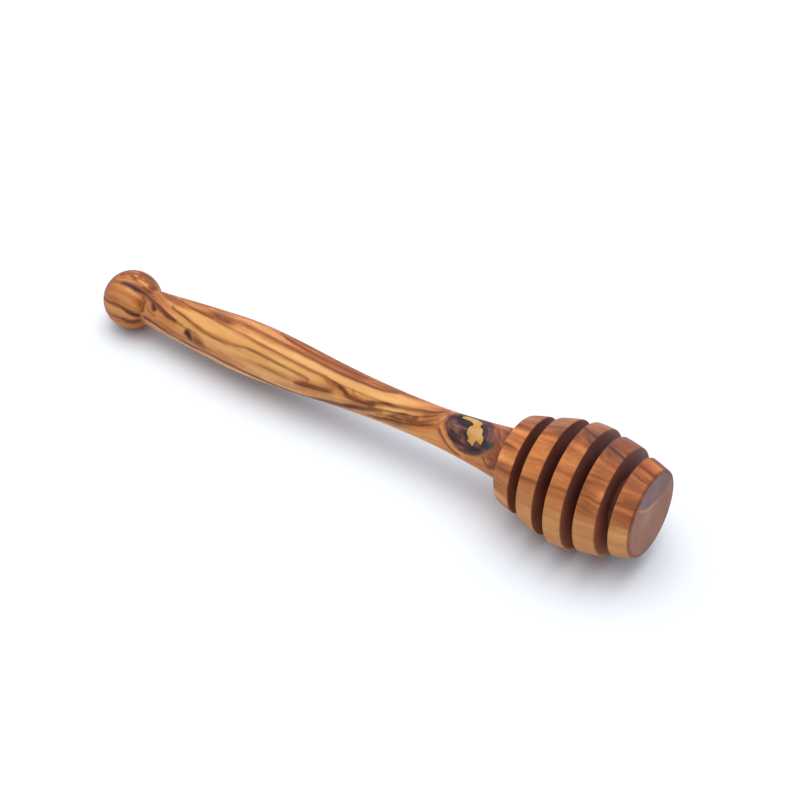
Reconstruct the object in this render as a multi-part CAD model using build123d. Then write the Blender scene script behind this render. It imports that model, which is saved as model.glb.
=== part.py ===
from build123d import *
import math
import os

# Honey dipper turned from olive wood: a stick with a ball tail (handle), a
# grooved barrel (head) glued onto the stick's round tenon, and a hard fill in
# the hole of the knot on the stick.
#
# Millimetres. Lengths along the turning axis (S) are measured from the pole of
# the ball (0) to the flat end face of the head (LENGTH).

# ---------------------------------------------------------------- dimensions
LENGTH = 160.0            # over all, ball pole to end face
BALL_R = 7.65             # ball on the tail
NECK_COVE_R = 0.7         # small hollow between the ball and the stick
NECK_COVE_END_SLOPE = 3.0  # degrees, slope of the stick where the hollow ends

# swell of the stick: (S, radius)
GRIP = [
    (17.5, 4.93), (20.5, 5.18), (25.0, 5.60), (31.0, 6.08), (38.0, 6.62),
    (45.0, 6.94), (52.0, 6.81), (60.0, 6.30), (68.0, 5.62), (76.0, 5.06),
    (84.0, 4.68), (92.0, 4.52), (99.0, 4.59), (105.0, 4.85), (110.0, 5.26),
    (115.0, 5.77), (119.0, 6.28),
]

HEAD_START = 123.3        # back face of the head, where the stick's shoulder seats
SHOULDER_R = 6.85         # radius of the stick's shoulder

# the five discs of the barrel: (S rear, radius rear, S front, radius front)
DISCS = [
    (123.3, 10.75, 128.5, 12.30),
    (131.4, 13.20, 136.4, 14.62),
    (139.7, 15.20, 144.2, 15.12),
    (147.1, 14.40, 152.2, 13.50),
    (155.1, 12.30, 160.0, 10.80),
]
DISC_CROWN = 0.07         # how far each rim bulges between its two edges
CORE_R = 6.5              # floor of the grooves
DISC_EDGE_R = 0.25        # broken edges of the discs
BACK_EDGE_R = 2.0         # rounder edge at the back of the first disc
END_EDGE_R = 0.5          # broken edge of the end face
GROOVE_FILLET = 0.5       # inside corners of the grooves

TENON_R = 4.0             # round tenon on the stick
TENON_LEN = 22.0
TENON_CHAMFER = 0.6
GLUE_GAP = 0.15           # radial gap filled with glue
GLUE_POOL = 1.0           # gap under the end of the tenon

# fill in the knot hole: an irregular well, cut square to the stick
FILL_S = 113.8            # middle of the fill along the axis
FILL_PHI = 16.0           # degrees round the stick from the top, towards -Y
FILL_FLOOR = 3.2          # height of the well's floor above the axis
FILL_OUTLINE = [          # (along the axis, across)
    (-5.85, -2.45), (-5.55, -3.10), (-4.75, -3.50), (-3.50, -3.50), (-2.45, -3.55),
    (-1.50, -3.30), (-0.40, -2.95), (0.10, -2.55), (-0.10, -1.85), (0.30, -1.20),
    (0.95, -1.10), (1.35, -0.55), (1.75, 0.45), (2.55, 1.15), (2.75, 1.80),
    (2.60, 2.85), (1.85, 2.45), (1.15, 2.15), (0.80, 2.65), (0.75, 3.45),
    (0.35, 3.50), (-0.05, 3.25), (-0.60, 3.00), (-1.20, 2.95), (-0.95, 2.35),
    (-1.50, 1.85), (-2.05, 1.35), (-2.25, 0.75), (-2.40, -0.05), (-2.20, -0.65),
    (-1.75, -1.10), (-1.85, -1.55), (-2.55, -2.05), (-3.30, -2.15), (-4.35, -2.25),
    (-5.35, -2.20),
]


# ------------------------------------------------------------------- helpers
def arc_mid(p, q, bulge):
    """Point half way from p to q, moved out square to the chord by bulge."""
    mx, my = (p[0] + q[0]) / 2, (p[1] + q[1]) / 2
    dx, dy = q[0] - p[0], q[1] - p[1]
    n = math.hypot(dx, dy)
    return (mx - dy / n * bulge, my + dx / n * bulge)


def lathe(edges):
    """Turn a closed outline in the S-radius plane into a solid about S."""
    return revolve(make_face(edges), axis=Axis.X, revolution_arc=360)


# -------------------------------------------------------------------- handle
def handle_blank():
    # where the hollow of the neck leaves the ball, found by walking down the
    # ball until the hollow ends at the stick's own radius there
    end_slope = math.radians(NECK_COVE_END_SLOPE)
    stick_r = 4.73
    s1 = BALL_R
    while True:
        r1 = math.sqrt(BALL_R ** 2 - (s1 - BALL_R) ** 2)
        fall = math.atan2(s1 - BALL_R, r1)
        r2 = r1 - NECK_COVE_R * (math.cos(end_slope) - math.cos(fall))
        if r2 <= stick_r:
            break
        s1 += 0.001
    s2 = s1 + NECK_COVE_R * (math.sin(fall) + math.sin(end_slope))
    # centre of the hollow lies outside the wood
    cs = s1 + NECK_COVE_R * math.sin(fall)
    cr = r1 + NECK_COVE_R * math.cos(fall)
    half = (end_slope - fall) / 2
    mid = (cs + NECK_COVE_R * math.sin(half), cr - NECK_COVE_R * math.cos(half))

    ball_mid_a = math.pi - (math.pi - math.atan2(r1, s1 - BALL_R)) / 2
    ball_mid = (BALL_R + BALL_R * math.cos(ball_mid_a), BALL_R * math.sin(ball_mid_a))
    ball = ThreePointArc((0, 0), ball_mid, (s1, r1))
    cove = ThreePointArc((s1, r1), mid, (s2, r2))
    shoulder = (HEAD_START, SHOULDER_R)
    grip = Spline(
        [(s2, r2)] + GRIP + [shoulder],
        tangents=[(math.cos(end_slope), math.sin(end_slope)), (1.0, 0.11)],
    )
    tip = HEAD_START + TENON_LEN
    rest = Polyline(
        shoulder,
        (HEAD_START, TENON_R),
        (tip - TENON_CHAMFER, TENON_R),
        (tip, TENON_R - TENON_CHAMFER),
        (tip, 0),
        (0, 0),
    )
    print("neck: ball ends at", round(s1, 3), round(r1, 3),
          "stick starts at", round(s2, 3), round(r2, 3))
    return lathe([ball, cove, grip] + rest.edges())


# ---------------------------------------------------------------------- head
def head_solid():
    bore_r = TENON_R + GLUE_GAP
    bore_end = HEAD_START + TENON_LEN + GLUE_POOL
    edges = []
    last = (HEAD_START, bore_r)
    for i, (sa, ra, sb, rb) in enumerate(DISCS):
        if i == 0:
            edges.append(Line(last, (sa, ra)))
        else:
            edges.append(Line(last, (last[0], CORE_R)))
            edges.append(Line((last[0], CORE_R), (sa, CORE_R)))
            edges.append(Line((sa, CORE_R), (sa, ra)))
        edges.append(ThreePointArc((sa, ra), arc_mid((sa, ra), (sb, rb), DISC_CROWN), (sb, rb)))
        last = (sb, rb)
    edges.append(Line(last, (LENGTH, 0)))
    edges.append(Line((LENGTH, 0), (bore_end, 0)))
    edges.append(Line((bore_end, 0), (bore_end, bore_r)))
    edges.append(Line((bore_end, bore_r), (HEAD_START, bore_r)))
    face = make_face(edges)

    def near(v, s, r):
        return abs(v.X - s) < 1e-3 and abs(v.Y - r) < 1e-3

    verts = face.vertices()
    back = [v for v in verts if near(v, DISCS[0][0], DISCS[0][1])]
    end = [v for v in verts if near(v, DISCS[-1][2], DISCS[-1][3])]
    rims = []
    for i, (sa, ra, sb, rb) in enumerate(DISCS):
        for s, r, skip in ((sa, ra, i == 0), (sb, rb, i == len(DISCS) - 1)):
            if not skip:
                rims += [v for v in verts if near(v, s, r)]
    floors = [v for v in verts if abs(v.Y - CORE_R) < 1e-3]
    face = fillet(back, BACK_EDGE_R)
    for group, radius in ((end, END_EDGE_R), (rims, DISC_EDGE_R), (floors, GROOVE_FILLET)):
        want = [(v.X, v.Y) for v in group]
        face = fillet([v for v in face.vertices()
                       if any(near(v, s, r) for s, r in want)], radius)
    return revolve(face, axis=Axis.X, revolution_arc=360)


# ----------------------------------------------------------------- glue line
def glue_solid():
    bore_r = TENON_R + GLUE_GAP
    tip = HEAD_START + TENON_LEN
    outline = Polyline(
        (HEAD_START, TENON_R),
        (HEAD_START, bore_r),
        (tip + GLUE_POOL, bore_r),
        (tip + GLUE_POOL, 0),
        (tip, 0),
        (tip, TENON_R - TENON_CHAMFER),
        (tip - TENON_CHAMFER, TENON_R),
        close=True,
    )
    return lathe(outline.edges())


# ---------------------------------------------------------------- knot filler
def fill_well():
    phi = math.radians(FILL_PHI)
    out = Vector(0, -math.sin(phi), math.cos(phi))
    well = Plane(origin=Vector(FILL_S, 0, 0) + out * FILL_FLOOR,
                 x_dir=(1, 0, 0), z_dir=out)
    # across runs towards -Y, the side that the outline's second number grows to
    pts = [(a, -b) for a, b in FILL_OUTLINE]
    return extrude(well * make_face(Polyline(*pts, close=True).edges()), amount=6.0)


# -------------------------------------------------------------- how it lies
def rest_tilt():
    """Tilt of the axis when the ball and the widest disc lie on a flat surface."""
    pts = []
    for sa, ra, sb, rb in DISCS:
        for k in range(41):
            t = k / 40
            s = sa + (sb - sa) * t
            r = ra + (rb - ra) * t + 4 * DISC_CROWN * t * (1 - t)
            edge = min(s - sa, sb - s)
            if edge < DISC_EDGE_R:
                r -= DISC_EDGE_R - math.sqrt(DISC_EDGE_R ** 2 - (DISC_EDGE_R - edge) ** 2)
            pts.append((s, r))
    lo, hi = 0.0, 0.2
    for _ in range(60):
        a = (lo + hi) / 2
        low = min(BALL_R + (s - BALL_R) * math.sin(a) - r * math.cos(a) for s, r in pts)
        if low > 0:
            hi = a
        else:
            lo = a
    return math.degrees((lo + hi) / 2)


def build():
    blank = handle_blank()
    well = fill_well()
    handle = blank - well
    filler = blank & well
    head = head_solid()
    glue = glue_solid()

    tilt = rest_tilt()
    pose = Rot(0, -tilt, 0)
    nodes = {"handle": handle, "head": head, "glue_line": glue, "knot_filler": filler}
    nodes = {k: (pose * v) for k, v in nodes.items()}
    # origin: middle of the box, on the surface that it lies on
    box = Compound(children=[v.solid() for v in nodes.values()]).bounding_box(optimal=True)
    shift = Pos(-(box.min.X + box.max.X) / 2, 0, -box.min.Z)
    print("tilt", round(tilt, 4), "shift", round(-(box.min.X + box.max.X) / 2, 4),
          round(-box.min.Z, 4))
    print("box", box.min, box.max)
    return {k: (shift * v) for k, v in nodes.items()}


os.makedirs("parts", exist_ok=True)
for name, piece in build().items():
    solid = piece.solid()
    solid.label = name
    export_step(solid, f"parts/{name}.step")
    print(name, "volume", round(solid.volume, 2), "valid", solid.is_valid)
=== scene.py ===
import bpy
import math
import numpy as np
from mathutils import Matrix, Vector


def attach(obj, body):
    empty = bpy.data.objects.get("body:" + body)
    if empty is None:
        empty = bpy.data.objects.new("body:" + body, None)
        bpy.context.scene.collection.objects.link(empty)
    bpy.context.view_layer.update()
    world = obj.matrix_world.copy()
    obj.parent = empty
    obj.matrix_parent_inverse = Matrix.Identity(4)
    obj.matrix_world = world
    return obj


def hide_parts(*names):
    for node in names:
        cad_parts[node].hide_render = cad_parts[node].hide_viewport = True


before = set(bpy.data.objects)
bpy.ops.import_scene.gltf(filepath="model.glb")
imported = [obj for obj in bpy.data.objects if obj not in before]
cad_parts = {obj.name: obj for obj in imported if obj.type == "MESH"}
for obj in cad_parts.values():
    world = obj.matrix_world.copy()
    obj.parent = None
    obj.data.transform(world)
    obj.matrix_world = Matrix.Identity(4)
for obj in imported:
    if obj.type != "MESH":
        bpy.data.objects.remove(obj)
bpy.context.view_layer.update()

# ---------------------------------------------------------------------------
# The dipper's own frame. S runs along the turning axis from the pole of the
# ball (0) to the end face (160); PHI turns round it, 0 on top, +90 towards -Y.
# Millimetres here, metres in the meshes.
# ---------------------------------------------------------------------------
MM = 0.001
TILT = math.radians(3.2649)
POLE = np.array([-80.1619, 0.0, 7.2153])
AX = np.array([math.cos(TILT), 0.0, math.sin(TILT)])
UP = np.array([-math.sin(TILT), 0.0, math.cos(TILT)])
SIDE = np.array([0.0, -1.0, 0.0])

LENGTH = 160.0
BALL_R = 7.65
GRIP = [
    (17.5, 4.93), (20.5, 5.18), (25.0, 5.60), (31.0, 6.08), (38.0, 6.62),
    (45.0, 6.94), (52.0, 6.81), (60.0, 6.30), (68.0, 5.62), (76.0, 5.06),
    (84.0, 4.68), (92.0, 4.52), (99.0, 4.59), (105.0, 4.85), (110.0, 5.26),
    (115.0, 5.77), (119.0, 6.28),
]
HEAD_START = 123.3
SHOULDER_R = 6.85
DISCS = [
    (123.3, 10.75, 128.5, 12.30),
    (131.4, 13.20, 136.4, 14.62),
    (139.7, 15.20, 144.2, 15.12),
    (147.1, 14.40, 152.2, 13.50),
    (155.1, 12.30, 160.0, 10.80),
]
CORE_R = 6.5
TENON_R, TENON_LEN, TENON_CHAMFER = 4.0, 22.0, 0.6
BORE_R, BORE_END = 4.15, 146.3
FILL_S, FILL_PHI, FILL_FLOOR = 113.8, 16.0, 3.2
FILL_OUTLINE = [
    (-5.85, -2.45), (-5.55, -3.10), (-4.75, -3.50), (-3.50, -3.50), (-2.45, -3.55),
    (-1.50, -3.30), (-0.40, -2.95), (0.10, -2.55), (-0.10, -1.85), (0.30, -1.20),
    (0.95, -1.10), (1.35, -0.55), (1.75, 0.45), (2.55, 1.15), (2.75, 1.80),
    (2.60, 2.85), (1.85, 2.45), (1.15, 2.15), (0.80, 2.65), (0.75, 3.45),
    (0.35, 3.50), (-0.05, 3.25), (-0.60, 3.00), (-1.20, 2.95), (-0.95, 2.35),
    (-1.50, 1.85), (-2.05, 1.35), (-2.25, 0.75), (-2.40, -0.05), (-2.20, -0.65),
    (-1.75, -1.10), (-1.85, -1.55), (-2.55, -2.05), (-3.30, -2.15), (-4.35, -2.25),
    (-5.35, -2.20),
]


# ---------------------------------------------------------------------------
# Camera
# ---------------------------------------------------------------------------
def make_camera():
    right = Vector((0.8359213537477098, 0.5488492419131107, 0.0))
    up = Vector((-0.385522672658666, 0.5871678592575807, 0.7117627230482002))
    fwd = Vector((-0.39065043096701596, 0.5949776589976078, -0.7024199784167667))
    loc = Vector((0.21862884198410734, -0.31718793985601013, 0.39029978970189165))
    cam = bpy.data.cameras.new("camera")
    obj = bpy.data.objects.new("camera", cam)
    bpy.context.scene.collection.objects.link(obj)
    obj.matrix_world = Matrix((
        (right.x, up.x, -fwd.x, loc.x),
        (right.y, up.y, -fwd.y, loc.y),
        (right.z, up.z, -fwd.z, loc.z),
        (0, 0, 0, 1),
    ))
    cam.sensor_width = 36
    cam.lens = 99.0
    cam.clip_start = 0.01
    cam.clip_end = 20
    bpy.context.scene.camera = obj


make_camera()


# ---------------------------------------------------------------------------
# Profiles
# ---------------------------------------------------------------------------
def spline_points(pts, t0, t1, step):
    """Clamped cubic spline through pts, by chord length, sampled about every step."""
    p = np.array(pts, float)
    k = np.concatenate([[0], np.cumsum(np.hypot(*np.diff(p, axis=0).T))])
    n = len(p)
    h = np.diff(k)
    m = np.zeros((n, n))
    rhs = np.zeros((n, 2))
    m[0, 0] = m[-1, -1] = 1
    rhs[0], rhs[-1] = t0, t1
    for i in range(1, n - 1):
        m[i, i - 1], m[i, i], m[i, i + 1] = h[i], 2 * (h[i - 1] + h[i]), h[i - 1]
        rhs[i] = 3 * (h[i] * (p[i] - p[i - 1]) / h[i - 1] + h[i - 1] * (p[i + 1] - p[i]) / h[i])
    d = np.linalg.solve(m, rhs)
    out = []
    count = max(2, int(round(k[-1] / step)))
    for q in np.linspace(0, k[-1], count + 1):
        i = min(n - 2, int(np.searchsorted(k, q, side="right") - 1))
        x = (q - k[i]) / h[i]
        a = 2 * x ** 3 - 3 * x ** 2 + 1
        b = x ** 3 - 2 * x ** 2 + x
        c = -2 * x ** 3 + 3 * x ** 2
        e = x ** 3 - x ** 2
        out.append(a * p[i] + b * h[i] * d[i] + c * p[i + 1] + e * h[i] * d[i + 1])
    return [tuple(v) for v in out]


def ball_to_stick():
    """The ball's arc, the small hollow behind it and the stick, as dense (s, r)."""
    slope = math.radians(3.0)
    s1 = BALL_R
    while True:
        r1 = math.sqrt(BALL_R ** 2 - (s1 - BALL_R) ** 2)
        fall = math.atan2(s1 - BALL_R, r1)
        r2 = r1 - 0.7 * (math.cos(slope) - math.cos(fall))
        if r2 <= 4.73:
            break
        s1 += 0.001
    theta1 = math.pi - math.atan2(r1, s1 - BALL_R)
    s2 = s1 + 0.7 * (math.sin(fall) + math.sin(slope))
    cs, cr = s1 + 0.7 * math.sin(fall), r1 + 0.7 * math.cos(fall)
    ball = [(BALL_R - BALL_R * math.cos(q), BALL_R * math.sin(q))
            for q in np.linspace(0, theta1, 82)]
    cove = [(cs + 0.7 * math.sin(q), cr - 0.7 * math.cos(q))
            for q in np.linspace(-fall, slope, 7)][1:-1]
    end = (1.0 / math.hypot(1, 0.11), 0.11 / math.hypot(1, 0.11))
    stick = spline_points([(s2, r2)] + GRIP + [(HEAD_START, SHOULDER_R)],
                          (math.cos(slope), math.sin(slope)), end, 0.232)
    return ball + cove + stick


def fillet_path(corners, step):
    """corners: (s, r, radius, step or None); the fourth item is not used. Returns a polyline with rounded corners."""
    out = []
    n = len(corners)
    for i, (x, y, rad, seg) in enumerate(corners):
        p = np.array([x, y])
        if i in (0, n - 1) or rad == 0:
            out.append(tuple(p))
            continue
        a = np.array(corners[i - 1][:2]) - p
        b = np.array(corners[i + 1][:2]) - p
        a /= np.linalg.norm(a)
        b /= np.linalg.norm(b)
        ang = math.acos(max(-1, min(1, float(a @ b))))
        cut = rad / math.tan(ang / 2)
        mid = a + b
        mid /= np.linalg.norm(mid)
        c = p + mid * rad / math.sin(ang / 2)
        v0, v1 = p + a * cut - c, p + b * cut - c
        turn = math.pi - ang
        k = max(2, int(math.ceil(turn / math.radians(18))), int(rad * turn / 0.35))
        a0 = math.atan2(v0[1], v0[0])
        d = math.atan2(v1[1], v1[0]) - a0
        d = (d + math.pi) % (2 * math.pi) - math.pi
        for q in np.linspace(0, 1, k + 1):
            out.append((c[0] + rad * math.cos(a0 + d * q), c[1] + rad * math.sin(a0 + d * q)))
    dense = [out[0]]
    for q in out[1:]:
        p = dense[-1]
        d = math.hypot(q[0] - p[0], q[1] - p[1])
        if d < 1e-6:
            continue
        k = max(1, int(math.ceil(d / step(p, q))))
        for j in range(1, k + 1):
            dense.append((p[0] + (q[0] - p[0]) * j / k, p[1] + (q[1] - p[1]) * j / k))
    return dense


def head_profile():
    """Outline of the head, from the bottom of its bore to the middle of the end face."""
    c = [(BORE_END, 0, 0, None), (BORE_END, BORE_R, 0, None), (HEAD_START, BORE_R, 0, None)]
    for i, (sa, ra, sb, rb) in enumerate(DISCS):
        if i:
            c.append((DISCS[i - 1][2], CORE_R, 0.5, None))
            c.append((sa, CORE_R, 0.5, None))
        c.append((sa, ra, 2.0 if i == 0 else 0.25, None))
        for k in range(1, 12):
            t = k / 12
            if i == 0 and t < 0.45:
                continue
            c.append((sa + (sb - sa) * t, ra + (rb - ra) * t + 0.28 * t * (1 - t), 0, None))
        c.append((sb, rb, 0.5 if i == 4 else 0.25, None))
    c.append((LENGTH, 0, 0, None))

    def step(p, q):
        if max(p[1], q[1]) < BORE_R + 0.01:
            return 3.0
        if min(p[0], q[0]) > LENGTH - 0.01:
            return 0.42
        if abs(p[0] - q[0]) < 0.01:
            return 0.6
        return 0.32

    return fillet_path(c, step)


def place(s, r, phi):
    s, r, phi = np.broadcast_arrays(s, r, phi)
    e = np.cos(phi)[..., None] * UP + np.sin(phi)[..., None] * SIDE
    return (POLE + s[..., None] * AX + r[..., None] * e) * MM


def mesh_from(name, verts, faces):
    me = bpy.data.meshes.new(name)
    me.from_pydata([tuple(v) for v in verts], [], faces)
    me.validate()
    me.update()
    obj = bpy.data.objects.new(name, me)
    bpy.context.scene.collection.objects.link(obj)
    return obj


def lathe(name, prof, n):
    """Turns a path that starts and ends on the axis into a closed mesh."""
    rows = [p for p in prof if p[1] > 1e-6]
    s = np.array([p[0] for p in rows])
    r = np.array([p[1] for p in rows])
    phi = np.arange(n) * 2 * math.pi / n
    grid = place(s[:, None], r[:, None], phi[None, :]).reshape(-1, 3)
    first = place(np.array(prof[0][0]), np.array(0.0), np.array(0.0)).reshape(1, 3)
    last = place(np.array(prof[-1][0]), np.array(0.0), np.array(0.0)).reshape(1, 3)
    verts = np.concatenate([first, grid, last])
    m = len(rows)
    faces = []
    for j in range(n):
        k = (j + 1) % n
        faces.append((0, 1 + k, 1 + j))
    for i in range(m - 1):
        a, b = 1 + i * n, 1 + (i + 1) * n
        for j in range(n):
            k = (j + 1) % n
            faces.append((a + j, a + k, b + k, b + j))
    a = 1 + (m - 1) * n
    for j in range(n):
        k = (j + 1) % n
        faces.append((a + j, a + k, 1 + m * n))
    obj = mesh_from(name, verts, faces)
    if volume(obj) < 0:
        obj.data.flip_normals()
    return obj


def volume(obj):
    me = obj.data
    me.calc_loop_triangles()
    idx = np.zeros(len(me.loop_triangles) * 3, np.int32)
    me.loop_triangles.foreach_get("vertices", idx)
    co = np.zeros(len(me.vertices) * 3)
    me.vertices.foreach_get("co", co)
    p = co.reshape(-1, 3)[idx].reshape(-1, 3, 3)
    return float(np.einsum("ij,ij->i", p[:, 0], np.cross(p[:, 1], p[:, 2])).sum() / 6)


def coords(me):
    co = np.zeros(len(me.vertices) * 3)
    me.vertices.foreach_get("co", co)
    q = co.reshape(-1, 3) / MM - POLE
    s = q @ AX
    y, z = q @ UP, q @ SIDE
    return s, np.hypot(y, z), np.degrees(np.arctan2(z, y)) % 360, y, z


def put(me, name, values):
    a = me.attributes.new(name, "FLOAT", "POINT")
    a.data.foreach_set("value", np.ascontiguousarray(values, np.float32))


def smooth(obj, degrees=40):
    me = obj.data
    me.polygons.foreach_set("use_smooth", np.ones(len(me.polygons), bool))
    me.set_sharp_from_angle(angle=math.radians(degrees))


# ---------------------------------------------------------------------------
# Noise and fields on a (along, round) grid that closes on itself round the axis
# ---------------------------------------------------------------------------
def lattice(x, p, sx, sp, seed):
    """Smooth noise, -1..1, cells sx along and sp degrees round; sp divides 360."""
    rng = np.random.default_rng(seed)
    m = int(round(360 / sp))
    fx, fp = x / sx, (p % 360) / sp
    ix, ip = np.floor(fx).astype(int), np.floor(fp).astype(int)
    x0 = ix.min()
    g = rng.uniform(-1, 1, (ix.max() - x0 + 3, m))
    ux, up = fx - ix, fp - ip
    ux = ux * ux * (3 - 2 * ux)
    up = up * up * (3 - 2 * up)
    a, b = ix - x0, ip % m
    c = (b + 1) % m
    return ((g[a, b] * (1 - up) + g[a, c] * up) * (1 - ux)
            + (g[a + 1, b] * (1 - up) + g[a + 1, c] * up) * ux)


def soft_step(lo, hi, x):
    t = np.clip((x - lo) / (hi - lo), 0, 1)
    return t * t * (3 - 2 * t)


class Field:
    """A figure on the skin of a turned piece. x: mm along the profile, p: degrees."""

    def __init__(self, x_len, step_x, step_p, radius_at):
        self.dx, self.dp = step_x, step_p
        self.nx = int(math.ceil(x_len / step_x)) + 1
        self.np = int(round(360 / step_p))
        self.x = np.arange(self.nx) * step_x
        self.p = np.arange(self.np) * step_p
        self.X, self.P = np.meshgrid(self.x, self.p, indexing="ij")
        self.r = np.maximum(radius_at(self.x), 0.6)
        self.R = self.r[:, None] + 0 * self.P

    def sample(self, g, x, p):
        """g at any (mm, degrees)."""
        fx = np.clip(np.asarray(x) / self.dx, 0, self.nx - 1.001)
        fp = (np.asarray(p) % 360) / self.dp
        ix, ip = fx.astype(int), np.floor(fp).astype(int)
        ux, up = fx - ix, fp - ip
        a = ip % self.np
        b = (a + 1) % self.np
        return ((g[ix, a] * (1 - up) + g[ix, b] * up) * (1 - ux)
                + (g[ix + 1, a] * (1 - up) + g[ix + 1, b] * up) * ux)

    def curve(self, pts, step=0.2, close=False):
        """Smooth curve through (x, p[, k]) points -> x, p, k, tangent, arc length."""
        q = np.array([(a[0], a[1], a[2] if len(a) > 2 else 1.0) for a in pts], float)
        if close:
            ext = np.concatenate([q[-1:], q, q[:2]])
        else:
            ext = np.concatenate([2 * q[:1] - q[1:2], q, 2 * q[-1:] - q[-2:-1]])
        out = []
        for i in range(1, len(ext) - 2):
            p0, p1, p2, p3 = ext[i - 1:i + 3]
            rr = np.interp(p1[0], self.x, self.r)
            d = math.hypot(p2[0] - p1[0], math.radians(p2[1] - p1[1]) * rr)
            n = max(2, int(math.ceil(d / step)))
            t = (np.arange(n) / n)[:, None]
            out.append(0.5 * ((2 * p1) + (p2 - p0) * t + (2 * p0 - 5 * p1 + 4 * p2 - p3) * t ** 2
                              + (3 * p1 - p0 - 3 * p2 + p3) * t ** 3))
        if not close:
            out.append(ext[-2:-1])
        c = np.concatenate(out)
        rr = np.interp(c[:, 0], self.x, self.r)
        nxt = np.roll(c, -1, 0) if close else np.concatenate([c[1:], 2 * c[-1:] - c[-2:-1]])
        dxm = nxt[:, 0] - c[:, 0]
        dwm = np.radians(nxt[:, 1] - c[:, 1]) * rr
        ln = np.maximum(np.hypot(dxm, dwm), 1e-6)
        arc = np.concatenate([[0], np.cumsum(ln)[:-1]])
        return c[:, 0], c[:, 1], c[:, 2], dxm / ln, dwm / ln, arc

    def near(self, cur, reach):
        """Signed distance (mm) to a curve, its strength and arc length there."""
        cx, cp, ck, tx, tw, arc = cur
        best = np.full(self.X.shape, 99.0)
        sign = np.ones(self.X.shape)
        kk = np.zeros(self.X.shape)
        aa = np.zeros(self.X.shape)
        step = 0.16
        for i in range(len(cx)):
            rr = max(0.6, float(np.interp(cx[i], self.x, self.r)))
            a = max(0, int((cx[i] - reach) / self.dx))
            b = min(self.nx, int((cx[i] + reach) / self.dx) + 2)
            if b <= a:
                continue
            half = min(self.np // 2 - 1, int(math.degrees(reach / rr) / self.dp) + 1)
            mid = int(round(cp[i] / self.dp))
            col = np.arange(mid - half, mid + half + 1)
            w = np.radians(col * self.dp - cp[i])[None, :] * self.r[a:b, None]
            x = (self.x[a:b] - cx[i])[:, None]
            along = x * tx[i] + w * tw[i]
            cross = tx[i] * w - tw[i] * x
            along2 = along - np.clip(along, -step, step)
            d = np.hypot(along2, cross)
            cc = col % self.np
            old = best[a:b][:, cc]
            m = d < old
            if not m.any():
                continue
            ii, jj = np.nonzero(m)
            best[a + ii, cc[jj]] = d[m]
            sign[a + ii, cc[jj]] = np.where(cross[m] >= 0, 1, -1)
            kk[a + ii, cc[jj]] = ck[i]
            aa[a + ii, cc[jj]] = arc[i]
        return best * sign, kk, aa

    def inside(self, pts, soft=0.4, warp=None):
        """Soft mask of a closed outline given as (x, p) points."""
        cur = self.curve(pts, 0.25, close=True)
        cx, cp = cur[0], cur[1]
        mid = 0.5 * (cp.max() + cp.min())
        P = (self.P - mid + 180) % 360 - 180 + mid
        X = self.X
        if warp is not None:
            X, P = X + warp[0], P + np.degrees(warp[1] / self.R)
        n = len(cx)
        hit = np.zeros(X.shape, bool)
        for i in range(n):
            j = (i + 1) % n
            x0, p0, x1, p1 = cx[i], cp[i], cx[j], cp[j]
            c = (p0 > P) != (p1 > P)
            if p1 != p0:
                hit ^= c & (X < (x1 - x0) * (P - p0) / (p1 - p0) + x0)
        m = hit.astype(float)
        return self.blur(m, soft)

    def blur(self, g, mm):
        """Blur by about mm, in both directions."""
        if mm <= 0:
            return g
        nx = max(1, int(round(mm / self.dx)))
        wx = np.exp(-0.5 * (np.arange(-2 * nx, 2 * nx + 1) / nx) ** 2)
        wx /= wx.sum()
        pad = np.concatenate([np.repeat(g[:1], 2 * nx, 0), g, np.repeat(g[-1:], 2 * nx, 0)])
        out = sum(w * pad[i:i + self.nx] for i, w in enumerate(wx))
        wid = mm / float(self.r[len(self.r) // 2])
        npx = max(1, int(round(math.degrees(wid) / self.dp)))
        wp = np.exp(-0.5 * (np.arange(-2 * npx, 2 * npx + 1) / npx) ** 2)
        wp /= wp.sum()
        return sum(w * np.roll(out, i - 2 * npx, 1) for i, w in enumerate(wp))

    def flow(self, curves, pull=1.2):
        """Direction of the fibres: follows the given curves, else straight along."""
        cx = np.concatenate([c[0][::4] for c in curves])
        cp = np.concatenate([c[1][::4] for c in curves])
        tx = np.concatenate([c[3][::4] for c in curves])
        tw = np.concatenate([c[4][::4] for c in curves])
        c2, s2 = tx * tx - tw * tw, 2 * tx * tw
        xs = np.arange(0, self.x[-1] + 1.0, 1.0)
        ps = np.arange(0, 360, 6.0)
        XX, PP = np.meshgrid(xs, ps, indexing="ij")
        rr = np.maximum(np.interp(XX, self.x, self.r), 0.6)
        a = np.full(XX.shape, 0.035)
        b = np.zeros(XX.shape)
        for i0 in range(0, len(cx), 200):
            sl = slice(i0, i0 + 200)
            dp = (PP[..., None] - cp[sl] + 180) % 360 - 180
            d2 = (XX[..., None] - cx[sl]) ** 2 + (np.radians(dp) * rr[..., None]) ** 2
            w = 1 / (d2 + 0.3) ** pull
            w = w / 1.0
            a += (w * c2[sl]).sum(-1)
            b += (w * s2[sl]).sum(-1)
        m = np.hypot(a, b) + 1e-9
        a, b = a / m, b / m

        fx = np.clip(self.X / 1.0, 0, len(xs) - 1.001)
        fp = self.P / 6.0
        ix, ip = fx.astype(int), fp.astype(int) % len(ps)
        ux, up = fx - ix, fp - np.floor(fp)
        jp = (ip + 1) % len(ps)

        def up_s(g):
            return ((g[ix, ip] * (1 - up) + g[ix, jp] * up) * (1 - ux)
                    + (g[ix + 1, ip] * (1 - up) + g[ix + 1, jp] * up) * ux)
        A, B = up_s(a), up_s(b)
        return A, B

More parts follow.
